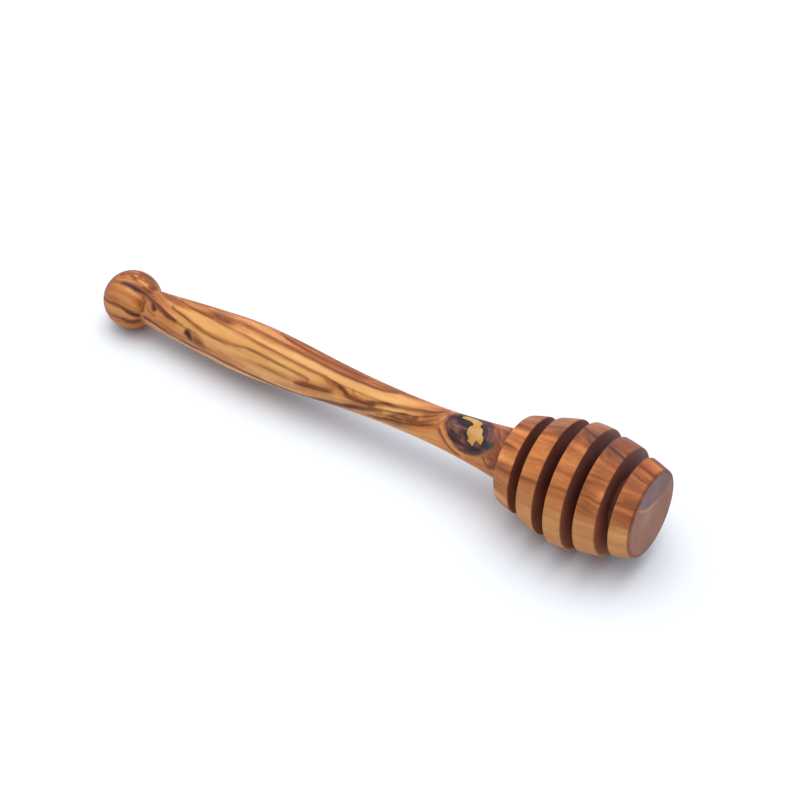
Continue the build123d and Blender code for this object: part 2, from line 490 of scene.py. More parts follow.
    def comb(self, noise, flow, length, step=0.3):
        """Noise drawn out along the flow."""
        A, B = flow
        total = np.zeros(noise.shape)
        wsum = 0.0
        n = int(length / step)
        for sgn in (1, -1):
            x, p = self.X.copy(), self.P.copy()
            ang = 0.5 * np.arctan2(B, A)
            vx, vw = np.cos(ang) * sgn, np.sin(ang) * sgn
            for k in range(n):
                w = 0.5 + 0.5 * math.cos(math.pi * k / n)
                total += w * self.sample(noise, x, p)
                wsum += w if sgn == 1 else 0
                rr = np.interp(x, self.x, self.r)
                x = np.clip(x + vx * step, 0, self.x[-1])
                p = p + np.degrees(vw * step / rr)
                a, b = self.sample(A, x, p), self.sample(B, x, p)
                ang = 0.5 * np.arctan2(b, a)
                nx, nw = np.cos(ang), np.sin(ang)
                f = np.where(nx * vx + nw * vw < 0, -1.0, 1.0)
                vx, vw = nx * f, nw * f
        out = total / (2 * wsum)
        return (out - out.mean()) / out.std()


def streak(field, cur, minus, plus, strength, taper=1.0, wob=0.22, seed=1, sharp=1.5, tail=0.28):
    """A line. minus, plus: half widths (mm) on its two sides; a soft tail on the plus side."""
    reach = 3.2 * max(minus, plus) + 0.6
    d, k, arc = field.near(cur, reach)
    n = lattice(field.X, field.P, 1.3, 12, seed) * 0.6 + lattice(field.X, field.P, 3.4, 24, seed + 1) * 0.4
    d = d + wob * 0.3 * n
    w = np.where(d < 0, minus, plus) * (0.5 + 0.5 * np.clip(k, 0, 1.6)) * (1 + wob * lattice(field.X, field.P, 2.4, 20, seed + 2))
    w = np.maximum(w, 0.05)
    total = cur[5][-1]
    ends = soft_step(0, taper, arc) * soft_step(0, taper, total - arc)
    f = np.exp(-(np.abs(d) / w) ** (2 * sharp) * 0.69)
    f2 = np.where(d < 0, np.exp(-(d / (1.5 * w)) ** 2), np.exp(-np.abs(d) / (1.7 * w)))
    f2 = f2 * soft_step(0, 0.5, reach - np.abs(d))
    waves = 1 + 0.16 * lattice(field.X, field.P, 4.5, 36, seed + 3)
    return np.clip(strength * k * ends * waves * ((1 - tail) * f + tail * f2), 0, 1)


# ---------------------------------------------------------------------------
# Handle: shape
# ---------------------------------------------------------------------------
outer = ball_to_stick()
os_ = np.array([p[0] for p in outer])
or_ = np.array([p[1] for p in outer])
ox_ = np.concatenate([[0], np.cumsum(np.hypot(np.diff(os_), np.diff(or_)))])
BALL_END_S = 13.463
BALL_END_X = float(np.interp(BALL_END_S, os_, ox_))


def x_of_s(s):
    return np.interp(s, os_, ox_)


def ball_x(theta):
    return BALL_R * np.radians(theta)


tip = HEAD_START + TENON_LEN
tenon = [(HEAD_START, 6.2), (HEAD_START, 5.4), (HEAD_START, 4.7), (HEAD_START, TENON_R)]
tenon += [(HEAD_START + k * 2.14, TENON_R) for k in range(1, 11)]
tenon[-1] = (tip - TENON_CHAMFER, TENON_R)
tenon += [(tip, TENON_R - TENON_CHAMFER), (tip, 2.2), (tip, 1.0), (tip, 0.0)]
N_HANDLE = 144


def well_prism():
    """The hole of the knot, cut square to the stick, as a closed prism."""
    f = math.radians(FILL_PHI)
    out = math.cos(f) * UP + math.sin(f) * SIDE
    across = math.cos(f) * SIDE - math.sin(f) * UP
    v = []
    for h in (FILL_FLOOR, FILL_FLOOR + 6.0):
        for a, b in FILL_OUTLINE:
            v.append((POLE + (FILL_S + a) * AX + across * b + out * h) * MM)
    n = len(FILL_OUTLINE)
    faces = [tuple(range(n)), tuple(range(2 * n - 1, n - 1, -1))]
    faces += [(i, i + n, (i + 1) % n + n, (i + 1) % n) for i in range(n)]
    o = mesh_from("well", v, faces)
    if volume(o) < 0:
        o.data.flip_normals()
    return o


def cut(obj, tool, how, name):
    m = obj.modifiers.new("cut", "BOOLEAN")
    m.operation = how
    m.solver = "EXACT"
    m.object = tool
    bpy.context.view_layer.update()
    dg = bpy.context.evaluated_depsgraph_get()
    me = bpy.data.meshes.new_from_object(obj.evaluated_get(dg))
    obj.modifiers.clear()
    me.name = name
    o = bpy.data.objects.new(name, me)
    bpy.context.scene.collection.objects.link(o)
    return o


def drop(obj):
    me = obj.data
    bpy.data.objects.remove(obj)
    bpy.data.meshes.remove(me)


blank = lathe("blank", outer + tenon, N_HANDLE)
well = well_prism()
handle = cut(blank, well, "DIFFERENCE", "turned_handle")
filler = cut(blank, well, "INTERSECT", "resin_fill")
drop(blank)
drop(well)

# ---------------------------------------------------------------------------
# Handle: figure of the wood
# ---------------------------------------------------------------------------
F = Field(ox_[-1], 0.2, 2.0, lambda x: np.interp(x, ox_, or_))


def on_stick(pts):
    return F.curve([(float(x_of_s(p[0])),) + tuple(p[1:]) for p in pts])


def on_ball(pts):
    return F.curve([(float(ball_x(p[0])),) + tuple(p[1:]) for p in pts])


# (kind, strength, half width on the smaller-PHI side, on the larger, points (s, phi[, weight]))
# kind: b brown, f fine brown, p purple-brown, r red-brown, m broad soft brown, l light
STICK = [
    ("p", 1.00, 0.30, 0.34, [(6.4, 19.0, 0.5), (7.4, 18.2, 0.8), (8.2, 17.5), (9.1, 17.0, 1.05), (9.8, 16.8, 1.1), (10.7, 16.5, 1.1), (11.5, 16.0, 1.05), (12.3, 14.8, 0.9), (12.9, 13.8, 0.8), (13.4, 13.2, 0.7), (13.8, 13.2, 0.7), (14.3, 14.2, 0.7), (15.1, 17, 0.6), (16.1, 21, 0.5)]),
    ("b", 0.80, 0.27, 0.38, [(13.4, 13.2, 0.8), (13.8, 13.2, 0.8), (14.3, 14.2, 0.8), (15.1, 17, 0.8), (16.1, 21, 0.9), (17.6, 26, 0.9), (19.2, 31), (20.3, 36, 1.1), (21.3, 40, 1.2), (22.2, 43.5, 1.3), (23, 46, 1.2), (24.2, 48.5, 1.0), (25.1, 50.5, 0.85), (26, 52, 0.6), (27.4, 53, 0.4), (28.6, 54.5, 0.3)]),
    ("p", 0.60, 0.14, 0.20, [(18.4, 29, 0.5), (19.6, 33.5, 0.8), (21, 39.5), (22.2, 43.5), (23.4, 47), (24.6, 49.5, 0.6)]),
    ("m", 0.70, 0.7, 0.9, [(14.4, 12), (16.4, 22), (19.2, 32), (21.3, 40.5), (24, 48.5), (27.4, 53)]),
    ("b", 0.42, 0.18, 0.25, [(27, 53), (28, 56), (29.3, 57.7), (30.5, 57.5), (31.8, 58.7), (33.5, 61.5, 0.8), (34.4, 66, 0.5)]),
    ("p", 0.74, 0.50, 0.60, [(28.9, 58.5, 0.7), (29.6, 64, 1.2), (30.2, 68, 1.2), (30.7, 73, 1.1), (31.2, 78, 0.9), (31.7, 82, 0.7), (32.0, 85, 0.5)]),
    ("b", 0.25, 0.25, 0.3, [(33.6, 62), (35.1, 70), (35.9, 77), (36.1, 82)]),
    ("b", 0.30, 0.3, 0.4, [(31.6, 84), (33.5, 87), (35, 85.5), (36.4, 82)]),
    # the long line that climbs off the neck and runs down the middle
    ("b", 0.60, 0.19, 0.26, [(22.0, 9, 0.6), (22.7, 16), (23.4, 21), (24.7, 24.7), (25.9, 27.7), (27.6, 31.7), (28.8, 34.7), (30.3, 38.7), (31.3, 40.7), (32.4, 42.5), (33.8, 45.5), (35.1, 48), (37, 50), (39, 51.2), (42, 51.7, 0.8), (43.6, 51.2, 0.35)]),
    ("m", 0.85, 0.50, 0.40, [(23.4, 18, 0.6), (25.5, 24), (27.5, 28.5), (29.5, 33.5), (31.5, 38.5), (34, 44), (36, 46.5), (38, 47.8), (41, 48.3), (44, 48), (47, 47.8)]),
    ("b", 0.48, 0.22, 0.20, [(42.0, 51.8, 0.3), (43.6, 51.0, 0.7), (45.4, 48.6), (46.6, 46.4), (48.0, 44.8), (49.5, 44.2), (51.5, 45.0), (53.5, 46.2), (56, 48.0), (58.5, 50), (60.5, 51.6), (62.5, 53.4), (64.5, 55.2), (66.2, 57.5), (67.2, 60), (67.7, 64, 0.8)]),
    ("m", 0.60, 0.45, 0.40, [(43.5, 50, 0.6), (46, 46.8), (48.5, 44), (51.5, 44.2), (56, 47.4), (60, 50.6), (63, 53.2), (66, 57), (67, 61)]),
    ("b", 0.16, 0.3, 0.4, [(45.5, 52.5), (49, 53.5), (53, 53.7), (56, 53)]),
    # the next one up
    ("b", 0.48, 0.19, 0.28, [(29, 1, 0.5), (31, 4.5), (33, 7.7), (35.1, 10), (37, 12), (38, 13.8), (40.1, 15.4), (42, 17.7), (45, 20.2), (48, 22.2), (50, 24), (52, 25.4), (54, 26.6), (57, 28.4), (60, 30), (63, 32), (66, 33.2), (68, 33.8), (70.5, 34.4), (72.5, 37.5), (74, 40.5, 1.2), (75.5, 44, 1.3), (77, 49, 1.3)]),
    ("m", 0.90, 0.50, 0.50, [(34, 10.5, 0.6), (38, 15), (42, 18.8), (46, 22), (50, 25.3), (54, 28), (58, 30), (62, 32.3), (66, 34.3), (70, 36.3), (73, 41)]),
    # brown band nearer the top
    ("b", 0.42, 0.22, 0.34, [(41.5, -13, 0.6), (43.5, -9.5), (45.5, -6), (47.5, -3.6), (50, -2.4), (53, -1), (56, 0), (58.5, 1.2)]),
    ("m", 0.75, 0.45, 0.6, [(43, -8), (46, -3.5), (50, -0.5), (54, 1), (58, 2.3), (62, 3.5)]),
    ("p", 0.42, 0.25, 0.38, [(56, 1, 0.5), (60, 2.8), (63, 4.6), (66, 5.6), (69, 6.6), (72, 7.3, 1.1), (75, 7.8, 1.2), (78, 7.4, 1.2), (81, 6.0, 1.1), (84, 4.0), (86.5, 0.5), (88.3, -5, 0.9), (89.8, -11, 0.7), (90.8, -17, 0.5)]),
    ("m", 0.95, 0.70, 0.65, [(57, 0.5), (61, 2), (65, 3.6), (70, 4.8), (75, 5.3), (80, 4.3), (84, 1.5), (87, -4), (89, -11), (90.5, -20)]),
    ("r", 0.42, 0.24, 0.36, [(52.5, -32), (54, -28), (55, -24), (56.5, -20), (58.5, -17), (60.5, -13.5), (63, -10.5), (66, -9, 0.9), (70, -8.4, 0.8), (74, -8.4, 0.8), (77, -9.5, 0.9), (79.5, -13), (81.5, -18), (83, -25, 0.7)]),
    ("m", 0.50, 0.6, 0.3, [(56, -26), (59, -20), (63, -14), (69, -11.5), (75, -12), (79, -17), (81, -24)]),
    ("b", 0.24, 0.3, 0.4, [(36, -9), (38.5, -8), (41, -6), (43, -4)]),
    ("b", 0.24, 0.3, 0.5, [(19, -28), (20.5, -16), (22.5, -10), (25, -6)]),
    ("m", 0.50, 0.5, 0.6, [(17, -24), (18.5, -12), (20.5, -5), (22.5, 0), (25, 4), (28, 6), (31, 8)]),
    ("b", 0.24, 0.3, 0.5, [(15.5, -14), (17, -3), (18.5, 6), (20, 13)]),
    ("m", 0.55, 0.5, 0.5, [(27, -1), (30, 0), (33, 1), (36, 2.5), (40, 5), (43, 8)]),
    ("m", 0.45, 0.4, 0.5, [(33, -14), (36, -10), (39, -7), (42, -5)]),
    ("b", 0.30, 0.25, 0.35, [(91, -30), (93, -24), (95, -26)]),
    ("m", 0.50, 0.5, 0.6, [(88, -34), (91, -26), (93.5, -24), (96, -28)]),
    # low down, along the shadow side
    ("p", 0.62, 0.26, 0.28, [(14.3, 79), (16, 82.5), (18, 87), (20, 91.5), (22, 95.5), (24, 97.7), (26, 98.6), (29, 100), (32, 100), (34.5, 98, 0.8), (37, 95.5, 0.8), (39.5, 96, 0.9), (42, 98.5), (46, 101), (50, 103.5), (52, 105), (54, 108), (56, 111), (59, 115), (63, 120), (68, 125), (74, 130, 0.7)]),
    ("m", 0.90, 0.8, 0.7, [(14, 78), (18, 84), (23, 92), (30, 96), (36, 94), (42, 96.5), (50, 102), (56, 109), (63, 118), (70, 125)]),
    ("r", 0.25, 0.4, 0.4, [(15, 80), (18, 83), (21, 86.5), (24, 90)]),
    ("l", 0.70, 0.5, 0.7, [(15, 92), (19, 97), (24, 102), (30, 105), (38, 104), (45, 108), (52, 113), (60, 121)]),
    # the pale line's dark lower edge, then the swirl
    ("m", 0.60, 0.4, 0.6, [(43, 65), (48, 67), (52, 68), (55, 69.5), (57.5, 72.5), (60, 75.2), (62.5, 77)]),
    ("m", 0.25, 0.5, 0.5, [(54, 56), (55.2, 60), (56, 65), (57, 71)]),
    ("b", 0.55, 0.35, 0.42, [(62.5, 77.5, 0.7), (64.5, 77.8, 1.1), (66, 76.6, 1.1), (68.5, 74.5, 0.9), (71, 71.5, 0.8), (73.5, 68, 0.7), (75, 65, 0.6)]),
    ("m", 0.90, 0.8, 0.8, [(62.5, 77), (65, 76.5), (68, 73.5), (71, 70), (74, 65), (75.5, 60)]),
    ("r", 0.30, 0.35, 0.4, [(65, 76), (68, 73), (71, 70), (73.5, 66)]),
    ("b", 0.18, 0.3, 0.4, [(66.3, 58), (66.8, 63), (66.2, 67.5), (64.8, 71), (63.8, 76)]),
    ("b", 0.26, 0.25, 0.3, [(71, 38), (71.8, 44), (72.6, 49), (73.5, 53), (75, 57)]),
    ("b", 0.66, 0.28, 0.34, [(74.8, 43, 0.7), (76, 46.5), (77, 50.5, 1.2), (77.6, 55.5, 1.3), (78.3, 60, 1.2), (79.5, 63, 1.1), (81, 64), (82.5, 63), (83.8, 60), (85, 55.5, 1.1), (86, 49.5), (87.5, 44.5), (89, 40), (90.5, 37), (92, 34), (93.5, 30), (95, 26), (96.5, 22), (98, 16), (99.6, 11), (101, 6), (102.2, -2, 0.9), (103, -12, 0.8), (103.6, -24, 0.6)]),
    ("m", 0.85, 0.55, 0.6, [(75.5, 46), (77.4, 54), (79, 61.5), (81, 63), (83.5, 59.5), (85.5, 51), (88, 42.5), (91, 36.5), (94, 29), (97, 20), (99.5, 12), (101.5, 4), (102.8, -8), (103.4, -22)]),
    ("p", 0.45, 0.35, 0.5, [(83, 62), (84.6, 57), (85.6, 51), (86.6, 47)]),
    ("b", 0.30, 0.25, 0.3, [(78.5, 37), (79.4, 42), (79.8, 47), (80.3, 52), (81.5, 56)]),
    ("m", 0.45, 0.5, 0.5, [(80, 38.5), (84, 38.5), (88, 37), (91, 34)]),
    # the strong one that comes up from below
    ("p", 0.62, 0.40, 0.46, [(64, 123, 0.6), (66.5, 119, 0.7), (69, 114.5, 0.8), (71, 110.5), (73, 107), (75, 104, 1.1), (77, 99.5, 1.2), (79, 94, 1.3), (80.3, 89.5, 1.2), (82, 85.5), (83.5, 82, 0.9), (85, 76, 0.7), (87, 69, 0.5), (89, 63, 0.3)]),
    ("m", 0.95, 0.9, 0.9, [(64, 123), (67, 118), (70, 112.5), (74, 106), (78, 97), (81, 88), (84, 79), (87, 70), (90, 63)]),
    ("b", 0.44, 0.22, 0.32, [(85.5, 108), (87.5, 99), (89, 91), (90.5, 86), (92.5, 82), (94.5, 78, 1.1), (96.3, 72.5, 1.2), (97.6, 67, 1.1), (98.8, 62), (100, 56), (101.5, 49), (103, 41.5), (104.0, 33), (104.6, 24, 0.7)]),
    ("m", 0.50, 0.5, 0.6, [(86, 106), (88.5, 94), (91, 85), (94, 79), (96.5, 71.5), (98.5, 62.5), (100.5, 53.5), (102.5, 43), (104, 32)]),
    ("b", 0.50, 0.20, 0.28, [(90.4, 63, 0.7), (92, 60), (93, 54, 1.1), (94.5, 50, 1.2), (96, 52, 1.0), (97.3, 46, 1.1), (98, 40.5, 1.1), (98.4, 35, 0.9)]),
    ("m", 0.45, 0.5, 0.5, [(89, 62), (91.5, 58), (94, 51), (96.5, 46), (98, 39), (99, 32)]),
    ("r", 0.30, 0.5, 0.5, [(93, 56), (94.5, 52), (96, 48)]),
    ("b", 0.40, 0.22, 0.32, [(94.5, 62), (96.5, 58), (98.5, 51), (99.8, 44), (101.2, 36), (102.2, 28)]),
    ("b", 0.32, 0.2, 0.3, [(89, 69), (91.5, 67), (93.5, 64), (95.5, 61)]),
    ("b", 0.34, 0.2, 0.3, [(98.5, 33), (100, 27), (101.5, 20), (102.6, 11), (103.6, 2)]),
    ("b", 0.28, 0.3, 0.4, [(88.5, 88), (90.5, 82), (92.5, 77), (94.5, 72)]),
    ("b", 0.30, 0.3, 0.4, [(83, 108), (85, 100), (87, 92), (88, 86)]),
    ("b", 0.26, 0.3, 0.4, [(91, 108), (92.5, 100), (93.6, 92), (94.5, 86)]),
    # fine lines between the broad ones
    ("f", 0.45, 0.13, 0.17, [(73, 36.5), (76, 38.5), (80, 39.5), (84, 39), (88, 37), (91, 33.5)]),
    ("f", 0.60, 0.15, 0.20, [(84, 70), (87, 64), (90, 57.5), (93, 51), (95, 47), (97, 42), (98.6, 36), (99.8, 29), (101, 21), (102, 12), (102.8, 3)]),
    ("f", 0.60, 0.14, 0.18, [(86, 84), (88.5, 77.5), (91, 72), (93.5, 69), (95.5, 65.5), (97.5, 59), (99.2, 51), (100.6, 43), (101.8, 35), (102.8, 27), (103.6, 17)]),
    ("f", 0.55, 0.14, 0.18, [(87, 95), (89.5, 87), (92, 80.5), (94.5, 75), (96.5, 69), (98.5, 62), (100.3, 53.5), (101.8, 45), (103, 36.5)]),
    ("f", 0.50, 0.13, 0.17, [(83.5, 104), (86, 97), (88.5, 89.5), (91, 83)]),
    ("l", 0.70, 0.18, 0.20, [(85.5, 76), (88, 70), (90.5, 66), (93, 60), (95.2, 56), (97, 50.5), (98.8, 43.5), (100.2, 36), (101.6, 27)]),
    ("f", 0.55, 0.14, 0.20, [(60, 3.5), (66, 6.2), (72, 8), (76, 8.4), (80, 7.4), (84, 5), (87, 1), (89, -6), (90.4, -14)]),
    ("f", 0.50, 0.13, 0.18, [(62, -4), (67, -3), (73, -2.5), (79, -4), (83, -8), (86, -14), (88, -22)]),
    ("r", 0.50, 0.30, 0.40, [(55, -22), (59, -16.5), (64, -13), (69, -12), (74, -12.5), (78, -16), (81, -22)]),
    ("f", 0.60, 0.14, 0.18, [(56, -40), (60, -31), (65, -27), (70, -26), (75, -28), (79, -34)]),
    ("f", 0.55, 0.14, 0.18, [(58, -14), (62, -15.5), (67, -15), (72, -15.5), (76, -18), (79, -23)]),
    ("f", 0.70, 0.16, 0.20, [(52.6, -34), (54, -28), (55.2, -23), (56.8, -18.5), (59, -15)]),
    ("f", 0.50, 0.13, 0.18, [(43, -22), (46, -17.5), (50, -13), (54, -9.5), (58, -7)]),
    ("f", 0.40, 0.12, 0.16, [(20, -6), (23, -2), (27, 2.5), (31, 5.5), (35, 9)]),
    ("f", 0.40, 0.12, 0.16, [(30, -18), (33, -12), (37, -8), (41, -3.5), (45, 1.5)]),
    ("f", 0.55, 0.13, 0.17, [(52, 67.5), (56, 69.5), (59, 73), (62, 76.5), (65, 78.3), (68, 77), (71, 74), (74, 69.5)]),
    ("f", 0.50, 0.13, 0.17, [(64.5, 72), (67, 70.5), (70, 68), (72.5, 64.5), (74.5, 60)]),
    ("f", 0.35, 0.12, 0.16, [(70, 92), (73, 88), (76, 83), (79, 77), (82, 71)]),
    ("f", 0.40, 0.12, 0.16, [(106.5, 96), (110, 103), (114, 106), (118, 104), (122, 99)]),
    # light lines beside the dark ones
    ("l", 0.80, 0.4, 0.5, [(88, 55, 0.6), (90, 50), (92, 43), (93.5, 37), (95, 31), (97, 25), (99, 18)]),
    ("l", 0.70, 0.3, 0.35, [(79.0, 40), (80.6, 44), (81.6, 50), (82, 55)]),
    ("l", 0.80, 0.4, 0.4, [(83, 92, 0.6), (85, 86), (87, 80), (89, 76)]),
    ("l", 0.80, 0.28, 0.3, [(86, 78, 0.5), (88, 75.5), (90, 74), (92, 72), (94.5, 67.5), (97, 60.5), (98.5, 55), (100, 49), (101.5, 41), (102.6, 33), (103.4, 24)]),
    ("l", 0.85, 0.28, 0.3, [(103.0, 32, 0.6), (103.6, 22), (104.2, 12), (104.6, 3), (104.8, -6)]),
    ("l", 0.50, 0.2, 0.25, [(47, -8.5), (50, -6.5), (55, -4.5), (60, -2.5), (64, -1)]),
    ("l", 0.50, 0.25, 0.3, [(59, -11), (63, -7), (68, -4.5), (76, -4), (83, -7), (87, -13), (88.5, -20)]),
    ("l", 0.80, 0.35, 0.4, [(20.4, -33), (22.6, -17), (26.3, -8), (32, -1), (37.4, 3)]),
    ("l", 0.90, 0.5, 0.6, [(31, -25), (34, -20), (38, -15.5), (42, -11.5)]),
    ("l", 0.90, 0.6, 0.5, [(43, -25), (46, -19), (50, -13), (54, -9), (58, -6)]),
    ("r", 0.45, 0.25, 0.35, [(18, -36), (20, -21), (23.4, -11), (27.8, 0), (32, 5.5), (36, 8.5)]),
    ("m", 0.55, 0.9, 0.9, [(29, -2), (33, 2), (38, 6.5), (43, 11), (48, 15)]),
    ("l", 0.60, 0.22, 0.28, [(24, -22), (25.5, -11.5), (27.6, -5.4), (29.7, -2.3), (33, -0.8), (38, 0.5)]),
    ("l", 0.45, 0.2, 0.3, [(15.2, 8), (16.2, 14), (17.6, 19.5), (19.2, 24), (21, 29.5), (23, 34.5), (26, 41)]),
    ("l", 0.35, 0.3, 0.3, [(36, 56), (42, 58.5), (48, 60), (54, 60.5), (60, 61)]),
    # lines round the knot
    ("r", 0.55, 0.20, 0.32, [(103.9, 40, 0.8), (104.4, 47), (105.0, 56), (106.0, 66), (107.0, 76), (107.8, 83), (108.6, 90), (110, 97), (112, 101, 0.5)]),
    ("r", 0.50, 0.35, 0.4, [(104.0, -24), (104.6, -10), (105.1, 2), (105.2, 14), (105.1, 26), (105.1, 36, 0.6)]),
    ("m", 0.60, 0.7, 0.6, [(104.6, -26), (105.4, -8), (105.6, 14), (105.4, 34), (106.2, 52)]),
    ("l", 0.60, 0.25, 0.3, [(105.6, 60), (107, 71), (108.5, 80.5), (110.5, 87), (112.5, 89), (115, 85)]),
    ("r", 0.65, 0.22, 0.35, [(118.3, 60), (118.1, 66), (118.3, 72), (118.9, 78), (119.6, 83), (120.4, 84), (121.4, 80), (121.9, 72), (121.9, 62), (121.2, 54), (120.4, 50)]),
    ("p", 0.55, 0.2, 0.3, [(119.4, 10), (120.2, 16), (120.9, 23), (121.2, 30), (121.9, 36), (122.8, 40)]),
    ("r", 0.70, 0.20, 0.30, [(118.6, -24), (119.8, -12), (121, -2), (122.6, 8), (123.4, 13)]),
    ("r", 0.80, 0.26, 0.40, [(117.3, -22), (118.4, -9), (119.4, 2), (120.6, 12), (122.3, 20)]),
    ("p", 0.60, 0.2, 0.3, [(120.3, -14), (121.2, -6), (122.4, 1), (123.3, 5)]),
    ("r", 0.45, 0.3, 0.45, [(119.5, 30), (120.6, 38), (121.5, 46), (122.6, 52), (123.3, 55)]),
    ("l", 0.90, 0.22, 0.28, [(119.0, -6), (119.8, 2), (120.6, 12), (121.4, 24), (122.0, 34)]),
    ("l", 0.70, 0.3, 0.3, [(119.6, -22), (120.8, -16), (122, -10), (123, -4)]),
    ("b", 0.60, 0.4, 0.5, [(119.2, 78), (120.3, 77), (121.5, 74.5), (122.6, 71), (123.4, 68)]),
    ("r", 0.30, 0.25, 0.4, [(119.5, 20), (121, 26), (122.3, 32), (123.3, 36)]),
    ("r", 0.25, 0.35, 0.6, [(112, 97), (114.5, 96), (117, 93), (119, 88), (121, 86)]),
    ("b", 0.26, 0.35, 0.5, [(116, 122), (118, 112), (120, 105), (122, 100)]),
    # close to the neck
    ("p", 0.62, 0.30, 0.45, [(15.9, 25, 0.6), (16.7, 30), (17.2, 36, 1.1), (17.8, 42, 1.2), (18.4, 48), (18.9, 52, 0.7)]),
    ("m", 0.70, 0.5, 0.6, [(16.2, 26), (17, 36), (17.8, 46), (18.4, 54)]),
    ("b", 0.38, 0.20, 0.24, [(15.3, 42), (15.9, 51.5), (16.8, 57.7), (18, 62), (19, 62), (19.6, 58.5, 0.7)]),
    # a red-brown line round the neck: partly a burnt line, partly painted shade in the crease between ball and stick
    ("r", 0.70, 0.3, 0.3, [(14.0, 22), (14.2, 34), (14.3, 48), (14.4, 62), (14.4, 76)]),
    # ---- the far side, not in view
    ("b", 0.55, 0.3, 0.6, [(14, 132), (20, 136), (28, 141), (38, 143), (48, 147), (58, 152), (68, 156), (78, 155), (88, 151), (97, 147), (106, 149), (114, 153), (123, 155)]),
    ("b", 0.60, 0.3, 0.6, [(14, 158), (22, 160), (32, 165), (42, 169), (52, 170), (60, 173), (68, 178), (75, 182), (81, 181), (87, 176), (94, 171), (102, 170), (112, 174), (123, 178)]),
    ("p", 0.75, 0.5, 0.8, [(26, 185, 0.6), (34, 187), (42, 190), (50, 195, 1.2), (57, 200, 1.3), (64, 206, 1.2), (71, 210), (78, 208), (85, 202), (92, 197), (100, 196), (110, 199), (121, 203, 0.6)]),
    ("b", 0.50, 0.3, 0.5, [(14, 190), (19, 196), (26, 203), (34, 208), (43, 212), (52, 218), (60, 225), (67, 229), (74, 230), (82, 227), (90, 221), (98, 217), (108, 220), (118, 226), (123, 228)]),
    ("b", 0.55, 0.3, 0.6, [(14, 222), (21, 226), (30, 229), (39, 234), (48, 240), (56, 246), (64, 249), (72, 249), (80, 246), (88, 242), (96, 240), (105, 243), (115, 250), (123, 255)]),
    ("p", 0.60, 0.4, 0.6, [(33, 248, 0.6), (40, 252), (48, 259), (55, 265, 1.1), (62, 269, 1.1), (70, 270), (78, 267), (86, 262), (93, 260), (100, 262, 0.7)]),
    ("b", 0.45, 0.3, 0.5, [(14, 262), (20, 259), (28, 262), (36, 268), (44, 276), (51, 284), (58, 290), (66, 293), (74, 292), (82, 288), (89, 284), (96, 284), (102, 290), (106, 300)]),
    ("b", 0.45, 0.3, 0.5, [(15, 296), (20, 290), (27, 288), (34, 293), (41, 301), (47, 310), (53, 318), (60, 322), (68, 323), (76, 321), (83, 317), (90, 315), (96, 319)]),
    ("r", 0.45, 0.3, 0.5, [(106, 305), (111, 296), (117, 292), (123, 290)]),
    ("r", 0.40, 0.3, 0.5, [(108, 318), (113, 309), (118, 305), (123, 304)]),
    ("b", 0.35, 0.3, 0.5, [(17, 322), (22, 312), (28, 309), (34, 315), (40, 325)]),
]
